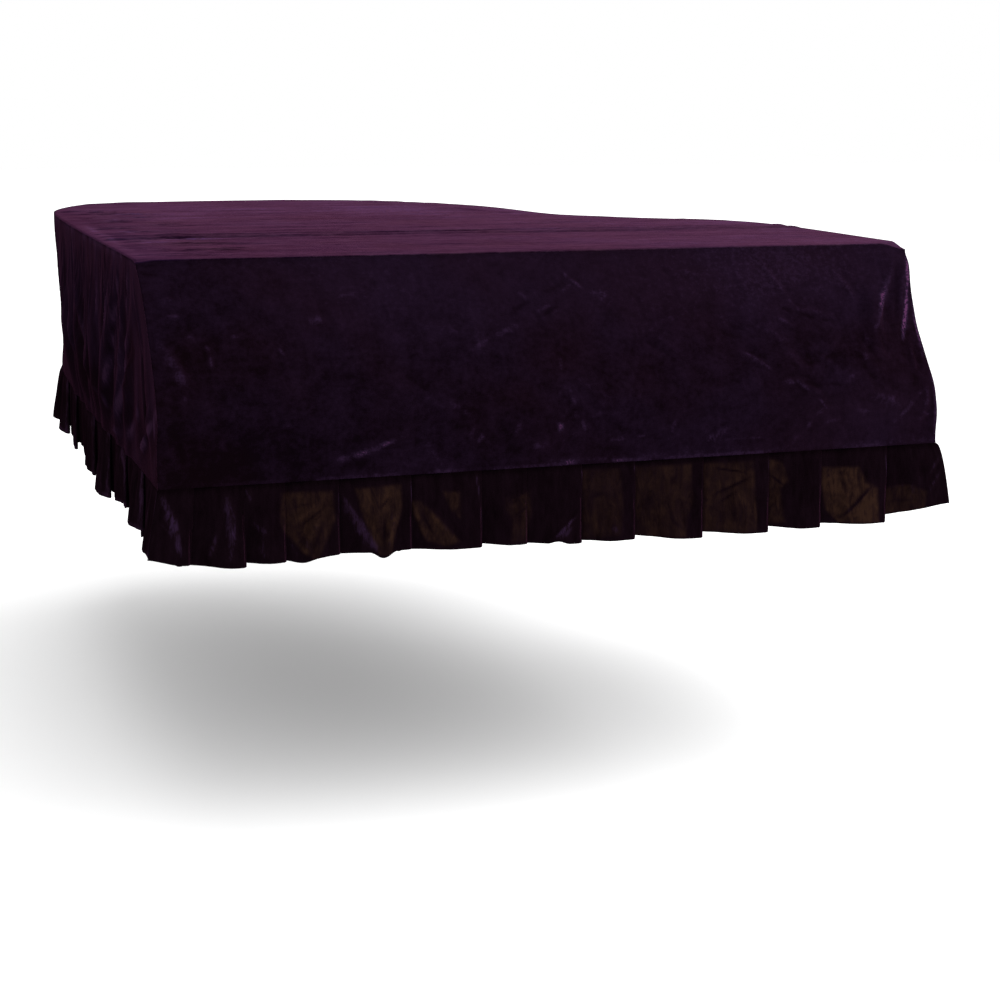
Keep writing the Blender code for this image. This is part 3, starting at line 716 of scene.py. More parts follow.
def stroke_strength(across, down, strokes):
    """How much of the strokes falls on each place of a cloth."""
    strength = 0.0
    for stroke in strokes:
        _, beside, ends = line_places(across, down, stroke)
        strength = strength + stroke.strength * ends * bump(beside / stroke.half_width)
    return strength


def inside(across, down, outline, softness):
    """1 well inside an outline, given in millimetres, and 0 outside it."""
    outline = [(x / 1000.0, y / 1000.0) for x, y in outline]
    nearest, odd = np.inf, False
    for (x, y), (to_x, to_y) in zip(outline, outline[1:] + outline[:1]):
        run_x, run_y = to_x - x, to_y - y
        share = ((across - x) * run_x + (down - y) * run_y) / (run_x ** 2 + run_y ** 2)
        share = np.clip(share, 0.0, 1.0)
        nearest = np.minimum(nearest, np.hypot(across - x - share * run_x, down - y - share * run_y))
        crossed = ((y > down) != (to_y > down)) & (across < x + (down - y) * run_x / (run_y or 1e-9))
        odd = odd ^ crossed
    return smooth(0.5 + np.where(odd, nearest, -nearest) / softness)


def surface_normals(spots):
    """The directions that a sheet faces at its crossings."""
    down, along = np.gradient(spots, axis=(0, 1))
    return unit(np.cross(along, down))


def raise_relief(spots, relief):
    """A sheet moved along its own normals."""
    return spots + surface_normals(spots) * relief[..., None]


def add_object(name, data):
    """A new object in the scene, at the origin."""
    added = bpy.data.objects.new(name, data)
    bpy.context.collection.objects.link(added)
    return added


def cloth_piece(name, spots, cloth_place, thickness, material, marks):
    """A sheet of cloth through a grid of spots, one row after another.

    cloth_place is each spot's (across, down) on the flat cloth, and marks are named values for
    each spot that the finish reads.
    """
    rows, columns = spots.shape[0] - 1, spots.shape[1] - 1
    mesh = bpy.data.meshes.new(name)
    grid = bmesh.new()
    grid.loops.layers.uv.new("cloth")
    bmesh.ops.create_grid(grid, x_segments=columns, y_segments=rows, size=0.5, calc_uvs=True)
    grid.to_mesh(mesh)
    grid.free()
    flat = np.zeros(len(mesh.vertices) * 3)
    mesh.vertices.foreach_get("co", flat)
    flat = flat.reshape(-1, 3)
    column = np.rint((flat[:, 0] + 0.5) * columns).astype(int)
    row = np.rint((flat[:, 1] + 0.5) * rows).astype(int)
    mesh.vertices.foreach_set("co", spots[row, column].ravel())
    corner = np.zeros(len(mesh.loops), dtype=np.int32)
    mesh.loops.foreach_get("vertex_index", corner)
    places = np.stack(cloth_place, axis=-1)[row, column]
    mesh.uv_layers["cloth"].data.foreach_set("uv", places[corner].ravel())
    for mark, values in marks.items():
        layer = mesh.attributes.new(mark, "FLOAT", "POINT")
        layer.data.foreach_set("value", values[row, column].astype(np.float32))
    mesh.materials.append(material)
    mesh.shade_smooth()
    piece = add_object(name, mesh)
    wall = piece.modifiers.new("cloth", "SOLIDIFY")
    wall.thickness = thickness
    wall.offset = 0.0
    return piece


def ease_corners(spots):
    """The cloth's spots, let down over the lid's two front corners."""
    for corner in FRONT_CORNERS:
        distance = np.hypot(spots[..., 0] - corner.x, spots[..., 1] + MOUNT_SETBACK)
        share = smooth(1.0 - distance / corner.width) * smooth(1.0 + spots[..., 2] / CORNER_DEPTH)
        spots[..., 2] -= corner.sink * share
    return spots


def crease_lift(across, back):
    """The soft bands on both sides of the crease over the lid's hinge."""
    share = (across + LID_WIDTH / 2.0) / LID_WIDTH
    crease = mix(CREASE_Y_BASS, CREASE_Y_TREBLE, np.clip(share, 0.0, 1.0) ** 2)
    bands = bump((back - crease) / CREASE_BAND - 1.0) + bump((back - crease) / CREASE_BAND + 1.0)
    return CREASE_LIFT * bands


def edge_fade(shape, margin):
    """0 at a sheet's rim and 1 from a number of steps inside it."""
    from_rims = [np.minimum(index, count - 1 - index) for index, count in zip(np.indices(shape), shape)]
    return smooth(np.minimum(*from_rims) / margin)


def make_top(material):
    """The flat panel on the lid, a patch stretched between the lid's four stretches of edge."""
    treble_end = EDGE.knot_along[TAIL_TREBLE_KNOT]
    bass_end = EDGE.knot_along[TAIL_BASS_KNOT]
    bass_length = EDGE.length - bass_end

    def rim(along):
        return EDGE.place(along) + EDGE.outward(along) * PANEL_CLOTH / 2.0

    even = np.linspace(0.0, 1.0, TOP_COLUMNS + 1)[None, :, None]
    v = np.linspace(0.0, 1.0, TOP_ROWS + 1)[:, None, None]
    crowding = RIM_CROWDING * smooth((EVEN_FROM - v) / (EVEN_FROM - CROWDED_TO))
    u = even - crowding * np.sin(2.0 * pi * even) / (2.0 * pi)
    bass, treble = rim(EDGE.length - bass_length * v[..., 0]), rim(treble_end * v[..., 0])
    bass[0, 0, 1] = treble[0, 0, 1] = -PANEL_CLOTH / 2.0
    tail = rim(mix(bass_end, treble_end, u[..., 0]))
    front = mix(bass[0, 0], treble[0, 0], u)
    corners = mix(front, mix(bass[-1, 0], treble[-1, 0], u), v)
    flat = mix(front, tail, v) + mix(bass, treble, u) - corners
    x, y = flat[..., 0], flat[..., 1]

    wrinkles = crease_relief(x, y, (*TOP_CREASES, *scattered(TOP_STREWN)))
    lift = crease_lift(x, y) + wrinkles + unevenness(x, y, TOP_WAVES) + TOP_RISE
    lift = np.maximum(lift * edge_fade(x.shape, TOP_FADE_STEPS), -TOP_SINK)
    spots = ease_corners(in_frame(x, y, PANEL_CLOTH / 2.0 + lift))
    # The nap mark: painted highlights on crests and painted shade in troughs, with the pile's uneven tone,
    # painted strokes and zones of painted light and shade.
    nap_and_painted_light = wrinkles / TOP_STEP + unevenness(x, y, TOP_MOTTLE)
    nap_and_painted_light += stroke_strength(x, y, TOP_LIGHT_AND_SHADE_STROKES) + zone_strength(x, y, TOP_PAINTED_LIGHT_AND_SHADE)
    nap_and_painted_light += sum(unevenness(x, y, waves) * zone_strength(x, y, zones) for waves, zones in TOP_PATCHES)
    marks = {"nap_and_painted_light": nap_and_painted_light, "painted_sheen": zone_strength(x, y, TOP_PAINTED_SHEEN)}
    piece = cloth_piece("top_cloth", spots, (x, y), PANEL_CLOTH, material, marks)
    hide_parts("top_panel")
    return piece


def front_fold_height(across, drop):
    """How far the soft folds lift the front panel."""
    height = 0.0
    for fold in FRONT_FOLDS:
        share = (drop - fold.upper) / (fold.lower - fold.upper)
        beside = (across - fold.x - fold.lean * share) / fold.half_width
        height = height + fold.height * bump(beside) * bump(2.0 * share - 1.0)
    return height


def make_front(material):
    """The panel over the keyboard, which slopes forward from the lid and then hangs."""
    half = LID_WIDTH / 2.0 + PANEL_CLOTH / 2.0
    trial = np.linspace(FRONT_REACH[0].drop, PANEL_DROP, FRONT_TRIAL_STEPS)
    steps = np.hypot(np.diff(trial), np.diff(front_reach(0.5, trial)))
    length = np.concatenate(([0.0], np.cumsum(steps)))
    down = np.linspace(0.0, length[-1], FRONT_ROWS + 1)
    drop = np.interp(down, length, trial)[:, None]
    side = np.linspace(0.0, 1.0, FRONT_COLUMNS + 1)[None, :]
    across = mix(-half, half, side)
    reach = front_reach(side, drop) + front_fold_height(across, drop)
    spots = in_frame(across - drawn_in(half - across, drop), -reach, -drop)

    creases = crease_relief(across, drop, (*FRONT_CREASES, *scattered(FRONT_STREWN)))
    strokes = stroke_strength(across, drop, FRONT_LIGHT_AND_SHADE_STROKES)
    relief = creases + unevenness(across, drop, FRONT_WAVES)
    relief += STROKE_LIFT * np.minimum(strokes, STROKE_LIFT_LIMIT)
    spots = raise_relief(spots, -relief * edge_fade(relief.shape, FRONT_FADE_STEPS))
    # The nap mark: painted highlights on crests and painted shade in troughs, with the pile's uneven tone,
    # painted strokes, zones of painted light and shade, and a painted highlight along the hem.
    nap_and_painted_light = creases / FRONT_STEP + FRONT_STROKE_SHARE * strokes + unevenness(across, drop, FRONT_MOTTLE)
    broken = smooth(SEAM_BREAK_LEVEL + unevenness(across, 0.0 * drop, SEAM_BREAKS))
    nap_and_painted_light += zone_strength(across, drop, FRONT_PAINTED_LIGHT_AND_SHADE) + broken * zone_strength(across, drop, FRONT_HEM_HIGHLIGHT)
    places = np.broadcast_arrays(across, down[:, None])
    marks = {"nap_and_painted_light": nap_and_painted_light, "painted_sheen": zone_strength(across, drop, FRONT_PAINTED_SHEEN)}
    piece = cloth_piece("front_cloth", ease_corners(spots), places, PANEL_CLOTH, material, marks)
    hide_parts("front_panel")
    return piece


def even_pitch(first, last, pitch):
    """How many equal steps fill a stretch, and their length, nearest to a pitch."""
    count = round((last - first) / pitch)
    return count, (last - first) / count


def side_folds():
    """Every hanging fold of the side strip, from the front of the bass side round to the treble."""
    folds = list(BASS_FOLDS)
    first = FAR_HOLLOW.y + HIDDEN_FOLD_PITCH
    count, pitch = even_pitch(first, EDGE.length - HIDDEN_FOLDS_CLEAR, HIDDEN_FOLD_PITCH)
    for index in range(count + 1):
        y = first + pitch * (index + 0.25 * uneven(index, 0.4))
        lean = HIDDEN_FOLD_LEAN * uneven(index, 4.2)
        half_width = pitch * (0.52 + 0.12 * uneven(index, 1.9))
        height = HIDDEN_FOLD_HEIGHT * (1.0 + 0.4 * uneven(index, 3.1))
        folds.append(SideFold(y, lean, half_width, height))
    return folds


def side_fold_height(along, drop):
    """How far the hanging folds stand out from the lid's edge. Folds that meet run into one."""
    fall = drop / PANEL_DROP
    back = EDGE.length - along

    def ridge(fold):
        middle = fold.y + fold.lean * fall ** 1.3
        return fold.height * bump((back - middle) / fold.half_width)

    out = np.cbrt(sum(ridge(fold) ** 3 for fold in side_folds())) - ridge(FAR_HOLLOW)
    return out * smooth(fall * 1.6) * mix(1.0, SEAM_SHARE, smooth(fall * 4.0 - 3.0))


def corner_fade(along, first, last):
    """0 at the two front corners and 1 away from them."""
    return smooth(np.minimum(along - first, last - along) / CORNER_FADE)


def make_side(material):
    """The strip round both sides and the tail, gathered at the lid and falling in soft folds."""
    bass_start = EDGE.length - BASS_LENGTH
    start = np.concatenate((
        np.linspace(0.0, bass_start, SIDE_COLUMNS_HIDDEN, endpoint=False),
        np.linspace(bass_start, EDGE.length, SIDE_COLUMNS_BASS + 1),
    ))[None, :]
    drop = np.linspace(FRONT_REACH[0].drop, PANEL_DROP, SIDE_ROWS + 1)[:, None]
    margin = PANEL_CLOTH / 2.0 - SEAM_LAP

    def drawn(distance):
        return np.maximum(1.0 - distance / DRAWN_FORWARD, 0.0) ** 1.5

    to_treble = np.maximum(front_reach(1.0, drop) - margin, -margin)
    to_bass = np.maximum(front_reach(0.0, drop) - margin, -margin)
    along = start - to_treble * drawn(start) + to_bass * drawn(EDGE.length - start)
    near_corner = corner_fade(along, -to_treble, EDGE.length + to_bass)

    back = EDGE.length - along
    strewn = [row._replace(right=EDGE.length - SIDE_STREWN_CLEAR) for row in SIDE_STREWN]
    creases = crease_relief(back, drop, (*BASS_CREASES, *scattered(strewn)))
    strokes = stroke_strength(back, drop, SIDE_LIGHT_AND_SHADE_STROKES)
    relief = creases + unevenness(back, drop, SIDE_WAVES) + STROKE_LIFT * strokes
    relief *= smooth(drop / SIDE_RIM) * smooth((PANEL_DROP - drop) / SIDE_RIM) * near_corner
    out = side_fold_height(along, drop) * near_corner - drawn_in(along + to_treble, drop) + relief
    spot = EDGE.place(along) + EDGE.outward(along) * out[..., None]
    spots = ease_corners(in_frame(spot[..., 0], spot[..., 1], -drop))
    # The nap mark: painted highlights on crests and painted shade in troughs, with the pile's uneven tone,
    # painted strokes, painted shade low down and a painted highlight along the upper rim.
    nap_and_painted_light = relief / SIDE_STEP + strokes + unevenness(back, drop, SIDE_MOTTLE)
    broken = smooth(RIM_BREAK_LEVEL + unevenness(back, 0.0 * drop, RIM_BREAKS))
    nap_and_painted_light += zone_strength(back, drop, SIDE_PAINTED_SHADE) + broken * zone_strength(back, drop, SIDE_RIM_HIGHLIGHT)
    places = np.broadcast_arrays(along, drop)
    piece = cloth_piece("side_cloth", spots, places, PANEL_CLOTH, material, {"nap_and_painted_light": nap_and_painted_light, "painted_sheen": 0.0 * nap_and_painted_light})
    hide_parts("side_panel")
    return piece


Station = namedtuple("Station", "along layer turned run share hem swell shown")


def pleat_stations(start, pleats, spacing):
    """The cloth's way through its knife pleats, as a table with a named column for each thing.

    Layer 0 is the outer face, 1 the cloth folded back and 2 the start of the next pleat. turned is
    how far a turned edge is drawn in. run numbers the runs between pleats, share is the place
    along one, hem is how far below the seam the hem hangs, and shown is 0 where the cloth lies
    under the pleat before.
    """
    stations = []
    here, layer, cover = start, 0.0, start - SHOWN_WIDTH
    for index, pleat in enumerate(pleats):
        following = pleats[min(index + 1, len(pleats) - 1)].hem_start
        last = pleat.tuck == 0.0
        steps = max(6, round((pleat.edge - here) / spacing))
        for step in range(steps + last):
            share = step / steps
            spot = mix(here, pleat.edge, share)
            stations.append(Station(
                spot, layer * (1.0 - smooth(share * 1.4)), 0.0, index, share,
                mix(pleat.hem_start, pleat.hem_edge, smooth(share)), pleat.swell,
                smooth((spot - cover) / SHOWN_WIDTH)))
        if last:
            break
        way = pleat.edge - pleat.tuck
        for step in range(TURN_STEPS + 1):
            angle = pi * (step / TURN_STEPS - 0.5)
            stations.append(Station(pleat.edge, 0.5 + 0.5 * sin(angle), cos(angle) - 1.0, index, 1.0,
                                    pleat.hem_edge, pleat.swell, 1.0 - step / TURN_STEPS))
        for step in range(1, TUCK_STEPS):
            share = step / TUCK_STEPS
            stations.append(Station(mix(pleat.edge, way, share), 1.0, 0.0, index, 1.0,
                                    mix(pleat.hem_edge, following, share), pleat.swell, 0.0))
        for step in range(TURN_STEPS):
            angle = pi * (step / TURN_STEPS - 0.5)
            stations.append(Station(way, 1.5 + 0.5 * sin(angle), 1.0 - cos(angle), index + 1, 0.0,
                                    following, pleat.swell, 0.0))
        here, layer, cover = way, 2.0, pleat.edge
    return Station(*np.array(stations).T)


def flounce_sheet(stations, rows, base, opening, billow):
    """The spots of a strip of knife pleats, down to its hem.

    base(along, fall) gives the seam's points moved out by their flare, and the outward
    directions. billow(stations, fall) is how far the cloth stands out.
    """
    fall = np.linspace(0.0, 1.0, rows + 1)[:, None]
    pitch = mix(LAYER_PITCH, opening, fall ** 1.3)
    spot, outward = base(stations.along + stations.turned * pitch / 2.0, fall)
    out = billow(stations, fall) * (1.0 - np.clip(stations.layer, 0.0, 1.0))
    spot = spot + outward * (out - pitch * stations.layer)[..., None]
    height = -(PANEL_DROP - SEAM_LAP + stations.hem * fall)
    return in_frame(spot[..., 0], spot[..., 1], height)


def turn_hem(spots):
    """A strip's spots with its lower edge turned up inside."""
    inner = surface_normals(spots)
    falling = unit(spots[-1] - spots[-2])
    rows = []
    for step in range(1, HEM_TURN_STEPS + 1):
        angle = pi * step / HEM_TURN_STEPS
        drawn = inner[-1] * (1.0 - cos(angle)) + falling * sin(angle)
        rows.append(spots[-1] + drawn * HEM_TURN / 2.0)
    for row in range(2, HEM_ROWS + 2):
        rows.append(spots[-row] + inner[-row] * HEM_TURN)
    return np.concatenate((spots, np.array(rows)))


def flounce_places(spots):
    """The cloth's own measure at each spot of a flounce."""
    steps = np.linalg.norm(np.diff(spots, axis=1), axis=2)
    hem_row = len(spots) - 1 - HEM_TURN_STEPS - HEM_ROWS
    across = np.concatenate(([0.0], np.cumsum(steps[hem_row])))
    falls = np.linalg.norm(np.diff(spots, axis=0), axis=2).mean(axis=1)
    down = np.concatenate(([0.0], np.cumsum(falls)))
    return np.broadcast_arrays(across[None, :], down[:, None])


def with_hem(values):
    """A mark for a flounce's rows, carried on round its hem."""
    return np.concatenate((values, np.repeat(values[-1:], HEM_TURN_STEPS + HEM_ROWS, axis=0)))


def corner_spread(distance, spread):
    """How far a flounce's hem stands out to the side near a front corner."""
    return spread * smooth(1.0 - distance / CORNER_SPREAD_WIDTH)


def make_front_flounce(material):
    """The pleats along the keyboard side."""
    half = LID_WIDTH / 2.0 + PANEL_CLOTH / 2.0
    stations = pleat_stations(-half, FRONT_PLEATS, RUN_SPACING)
    thinner = (PANEL_CLOTH - FLOUNCE_CLOTH) / 2.0
    for dip in HEM_DIPS:
        stations.hem[:] += dip.lower * bump((stations.along - dip.x) / dip.half_width)

    def base(across, fall):
        side = (across + half) / (2.0 * half)
        spread = corner_spread(half - across, CORNER_SPREAD_TREBLE) * fall ** 0.5
        spread -= corner_spread(across + half, CORNER_SPREAD_BASS) * fall
        reach = front_reach(side, PANEL_DROP) + thinner + FRONT_FLARE * fall
        across = across + spread - drawn_in(half - across, PANEL_DROP)
        spot = np.stack(np.broadcast_arrays(across, -reach), axis=-1)
        return spot, np.array((0.0, -1.0)) + 0.0 * spot

    def billow(stations, fall):
        tall = FRONT_BILLOW + FRONT_BILLOW_SPREAD * uneven(stations.run, 0.7) + stations.swell
        return tall * np.sin(pi * stations.share) * fall ** 1.2

    spots = flounce_sheet(stations, FLOUNCE_ROWS, base, FRONT_OPENING, billow)
    across = spots[..., 0]
    down = -spots[..., 2] - PANEL_DROP
    relief = crease_relief(across, down, FLOUNCE_CREASES) + unevenness(across, down, FLOUNCE_WAVES)
    from_corner = half - np.abs(stations.along)
    relief *= stations.shown * smooth(down / FRONT_RIM) * smooth(from_corner / FRONT_RIM_ENDS)
    # Painted light from behind: where it comes through single layers, more or less along the creases, and
    # none on cloth that lies under a pleat.
    backlight_paint = sum(strength * inside(across, down, outline, BACKLIGHT_SOFTNESS)
                for strength, *outline in BACKLIGHT_PLACES)
    through = BACKLIGHT_STROKE_SHARE * stroke_strength(across, down, BACKLIGHT_STROKES)
    through = through * smooth(backlight_paint * 5.0) * (0.35 + backlight_paint) + BACKLIGHT_PER_METRE * relief * backlight_paint
    marked = smooth(stations.shown * 3.0)
    backlight_paint = np.clip(backlight_paint + through, 0.0, BACKLIGHT_LIMIT) * marked
    # Painted highlight strokes, and painted shade just under the seam.
    nap_and_painted_light = stroke_strength(across, down, FLOUNCE_HIGHLIGHT_STROKES) * marked
    nap_and_painted_light = with_hem(nap_and_painted_light + relief / FLOUNCE_STEP - SEAM_SHADE * bump(down / SEAM_SHADE_WIDTH))
    spots = turn_hem(raise_relief(spots, -relief))
    places = flounce_places(spots)
    marks = {"nap_and_painted_light": nap_and_painted_light, "painted_sheen": 0.0 * nap_and_painted_light, "backlight_paint": with_hem(backlight_paint)}
    piece = cloth_piece("front_flounce_cloth", spots, places, FLOUNCE_CLOTH, material, marks)
    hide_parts("front_flounce")
    return piece


def side_pleats():
    """The side strip's pleats in their order along the lid's edge, hidden ones first."""
    bass = [pleat._replace(edge=EDGE.length - pleat.edge) for pleat in BASS_PLEATS]
    count, pitch = even_pitch(HIDDEN_PLEAT_START, bass[0].edge, HIDDEN_PLEAT_PITCH)
    hidden = []
    for index in range(count):
        edge = HIDDEN_PLEAT_START + pitch * (index + 0.22 * uneven(index, 2.2))
        tuck = HIDDEN_PLEAT_TUCK * (1.0 + 0.15 * uneven(index, 0.9))
        sag = 0.003 * uneven(index, 3.3)
        hidden.append(Pleat(edge, tuck, HIDDEN_HEM_START + sag, HIDDEN_HEM_EDGE + sag))
    return hidden + bass


def make_side_flounce(material):
    """The pleats round both sides and the tail."""
    thinner = (PANEL_CLOTH - FLOUNCE_CLOTH) / 2.0
    margin = FLOUNCE_CLOTH / 2.0 - SEAM_LAP - thinner
    start = margin - front_reach(1.0, PANEL_DROP)
    end = EDGE.length + front_reach(0.0, PANEL_DROP) - margin
    pleats = side_pleats()
    pleats[-1] = pleats[-1]._replace(edge=end)
    pleats[0] = pleats[0]._replace(hem_start=TREBLE_HEM_START)
    stations = pleat_stations(start, pleats, SIDE_RUN_SPACING)

    def from_corner(along):
        return np.minimum(along - start, end - along)

    def base(along, fall):
        out = side_fold_height(along, PANEL_DROP) * corner_fade(along, start, end) + thinner
        out = out + SIDE_FLARE * fall - drawn_in(along - start, PANEL_DROP)
        out += corner_spread(along - start, CORNER_SPREAD_TREBLE * fall ** 0.5 - SIDE_FLARE * fall)
        out += corner_spread(end - along, CORNER_SPREAD_BASS - SIDE_FLARE) * fall
        outward = EDGE.outward(along)
        spot = EDGE.place(along) + outward * out[..., None]
        spot[..., 1] -= corner_spread(from_corner(along), FRONT_FLARE) * fall
        return spot, outward

    def billow(stations, fall):
        share = stations.share
        tall = SIDE_BILLOW + SIDE_BILLOW_SPREAD * uneven(stations.run, 1.1) + stations.swell
        out = tall * np.sin(pi * share ** 1.3) - SIDE_PINCH * smooth(share * 3.0 - 2.0)
        return out * fall ** 0.8 * smooth(from_corner(stations.along) / SIDE_BILLOW_CLEAR)

    spots = flounce_sheet(stations, SIDE_FLOUNCE_ROWS, base, SIDE_OPENING, billow)
    along = stations.along
    down = -spots[..., 2] - PANEL_DROP
    relief = unevenness(along, down, SIDE_FLOUNCE_WAVES)
    relief *= stations.shown * smooth(down / SIDE_RIM) * smooth(from_corner(along) / SIDE_RIM_ENDS)
    far = smooth((end - along - FAR_FROM) / FAR_REACH)
    shade = SIDE_SHADE + LAYER_SHADE * smooth(stations.layer) + FAR_SHADE * far
    # Painted glints on the fold edges, painted shade below the seam that is deeper on the folded and the far
    # cloth, painted highlight strokes and a painted glint along the hem.
    nap_and_painted_light = relief / SIDE_FLOUNCE_STEP + FOLD_GLINT * smooth(stations.share * 12.0 - 11.0)
    nap_and_painted_light -= shade * smooth(down / SHADE_DEPTH)
    marked = smooth(stations.shown * 3.0)
    nap_and_painted_light = with_hem(nap_and_painted_light + stroke_strength(EDGE.length - along, down, SIDE_FLOUNCE_HIGHLIGHT_STROKES) * marked)
    nap_and_painted_light[SIDE_FLOUNCE_ROWS - 1:] += HEM_GLINT
    spots = turn_hem(raise_relief(spots, -relief))
    places = flounce_places(spots)
    marks = {"nap_and_painted_light": nap_and_painted_light, "painted_sheen": 0.0 * nap_and_painted_light}
    piece = cloth_piece("side_flounce_cloth", spots, places, FLOUNCE_CLOTH, material, marks)
    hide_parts("side_flounce")
    return piece


class Finish:
    """A material's nodes, added one after another."""

    def __init__(self, name):
        self.material = bpy.data.materials.new(name)
        self.material.use_nodes = True
        self.tree = self.material.node_tree
        self.shader = self.tree.nodes["Principled BSDF"]

    def add(self, kind, inputs=(), **settings):
        """A node with its settings, and its inputs set or linked by name."""
        node = self.tree.nodes.new("ShaderNode" + kind)
        for setting, value in settings.items():
            setattr(node, setting, value)
        self.feed(node, dict(inputs))
        return node

    def feed(self, node, inputs):
        for socket, value in inputs.items():
            if isinstance(value, bpy.types.NodeSocket):
                self.tree.links.new(value, node.inputs[socket])
            else:
                node.inputs[socket].default_value = value

    def noise(self, where, scale, detail, roughness=0.55, stretch=(1.0, 1.0, 1.0), turn=0.0, twist=0.0):
        mapped = self.add("Mapping", {"Vector": where, "Scale": stretch, "Rotation": (0.0, 0.0, turn)})
        return self.add("TexNoise", {
            "Vector": mapped.outputs["Vector"], "Scale": scale, "Detail": detail,
            "Roughness": roughness, "Distortion": twist}).outputs["Fac"]

    def ramp(self, value, low, high, to_low=0.0, to_high=1.0):
        return self.add("MapRange", {
            "Value": value, "From Min": low, "From Max": high, "To Min": to_low, "To Max": to_high,
        }).outputs["Result"]

    def sum(self, a, b):
        return self.add("Math", {0: a, 1: b}, operation="ADD").outputs[0]

    def times(self, a, b):
        return self.add("Math", {0: a, 1: b}, operation="MULTIPLY").outputs[0]

    def blend(self, amount, a, b):
        node = self.add("Mix", data_type="RGBA")
        self.feed(node, {0: amount, 6: a, 7: b})
        return node.outputs[2]

    def mark(self, name):
        return self.add("Attribute", attribute_name=name).outputs["Fac"]


def colour(red, green, blue):
    return (red, green, blue, 1.0)


def velvet(kind):
    """Crushed velvet: dark between the threads, and lighter where its pile leans, with painted highlights,
    glints, shade, sheen and light from behind.
    """
    finish = Finish(kind.name)
    place = finish.add("TexCoord").outputs["Object"]
    cloth = finish.add("UVMap", uv_map="cloth").outputs["UV"]
    nap_and_painted_light = finish.mark("nap_and_painted_light")
    sideways = finish.add("SeparateXYZ", {"Vector": place}).outputs["X"]
    regions = finish.sum(finish.noise(place, REGION_SCALE, 2.0), finish.times(sideways, 0.12))
    regions = finish.ramp(regions, 0.40, 0.62)
    crushed = finish.noise(cloth, CRUSH_SCALE, 4.0, 0.62, kind.streaks)
    rubbed = finish.noise(cloth, RUB_SCALE, 3.0, 0.60, kind.streaks)
    pile = finish.noise(cloth, PILE_SCALE, 2.0, 0.6)
    feathers = finish.noise(cloth, FEATHER_SCALE, 3.0, 0.65, kind.streaks, twist=1.2)

    # From deep to lit by the pile's uneven tone and by the painted highlights and shade of the nap mark.
    pile_and_painted_light = finish.ramp(crushed, 0.30, 0.75, -0.22, 0.36)
    pile_and_painted_light = finish.sum(pile_and_painted_light, finish.ramp(rubbed, 0.30, 0.72, -0.18, 0.26))
    pile_and_painted_light = finish.sum(finish.times(pile_and_painted_light, kind.mottle), finish.times(nap_and_painted_light, kind.crease))
    pile_and_painted_light = finish.sum(pile_and_painted_light, finish.ramp(pile, 0.3, 0.7, -0.20, 0.20))
    low = finish.blend(regions, kind.deep, kind.deep_warm)
    high = finish.blend(regions, kind.lit, kind.lit_warm)
    base = finish.blend(finish.ramp(pile_and_painted_light, -0.40, 1.0), low, high)
    # Painted sheen: a lilac cast laid on where the zones of painted sheen lie.
    base = finish.blend(finish.mark("painted_sheen"), base, kind.lilac)

    # Painted highlights: lilac, and glint at the strongest, where the nap mark is high.
    lean = finish.times(nap_and_painted_light, finish.ramp(feathers, 0.36, 0.62, 0.35, 1.30))
    lean = finish.sum(lean, finish.ramp(rubbed, 0.35, 0.65, -0.50, 0.40))
    base = finish.blend(finish.ramp(lean, 0.55, 2.4), base, kind.lilac)
    base = finish.blend(finish.ramp(lean, 2.2, 4.0), base, kind.glint)
    # Painted light from behind: brown and crackled where it comes through a single layer of the thin flounce.
    if kind.lets_light_through:
        wide = finish.ramp(finish.noise(cloth, BACKLIGHT_SCALE, 2.0, 0.55), 0.32, 0.68, 0.45, 1.15)
        crackled = finish.noise(cloth, CRACKLE_SCALE, 5.0, 0.72, (1.0, 0.34, 1.0), radians(-32.0), 0.9)
        crackled = finish.ramp(crackled, 0.38, 0.62, 0.35, 1.50)
        backlight_share = finish.times(finish.mark("backlight_paint"), finish.times(wide, crackled))
        base = finish.blend(backlight_share, base, PAINTED_BACKLIGHT_BROWN)

    soft = finish.add("Bump", {"Height": rubbed, "Strength": 0.5, "Distance": 0.002})
    fine = finish.add("Bump", {
        "Height": pile, "Strength": 0.3, "Distance": 0.0006, "Normal": soft.outputs["Normal"]})
    finish.feed(finish.shader, {
        "Base Color": base, "Roughness": finish.ramp(crushed, 0.3, 0.7, 0.70, 0.92),
        "Specular IOR Level": 0.0, "Sheen Weight": kind.sheen, "Sheen Roughness": 0.30,
        "Sheen Tint": SHEEN_TINT, "Normal": fine.outputs["Normal"]})
    return finish.material


# Lumps a metre in the noises of a velvet
REGION_SCALE = 4.5
CRUSH_SCALE = 26.0
RUB_SCALE = 95.0
FEATHER_SCALE = 140.0
PILE_SCALE = 520.0
BACKLIGHT_SCALE = 34.0
CRACKLE_SCALE = 62.0
# A velvet's colours, from deep to its brightest, each in a cool and a warm region where it has two, then its
# painted lilac highlight and painted glint colours.
# crease is how much the painted highlights and shade of the nap mark show, mottle how much the crushed pile
# does, streaks how it is stretched, and the last field whether light coming through from behind is painted
# in.
Velvet = namedtuple(
    "Velvet", "name deep deep_warm lit lit_warm lilac glint sheen crease mottle streaks lets_light_through")
DEEP, DEEP_WARM = colour(0.0023, 0.0009, 0.0021), colour(0.0025, 0.0009, 0.0017)
LIT, LIT_WARM = colour(0.0078, 0.0034, 0.0096), colour(0.0074, 0.0028, 0.0074)
THIN_DEEP, THIN_LIT = colour(0.0016, 0.0006, 0.0011), colour(0.0060, 0.0026, 0.0048)
# The lilac and glint colours below are painted highlight colours.
LILAC_HIGHLIGHT = colour(0.0135, 0.0062, 0.0172)
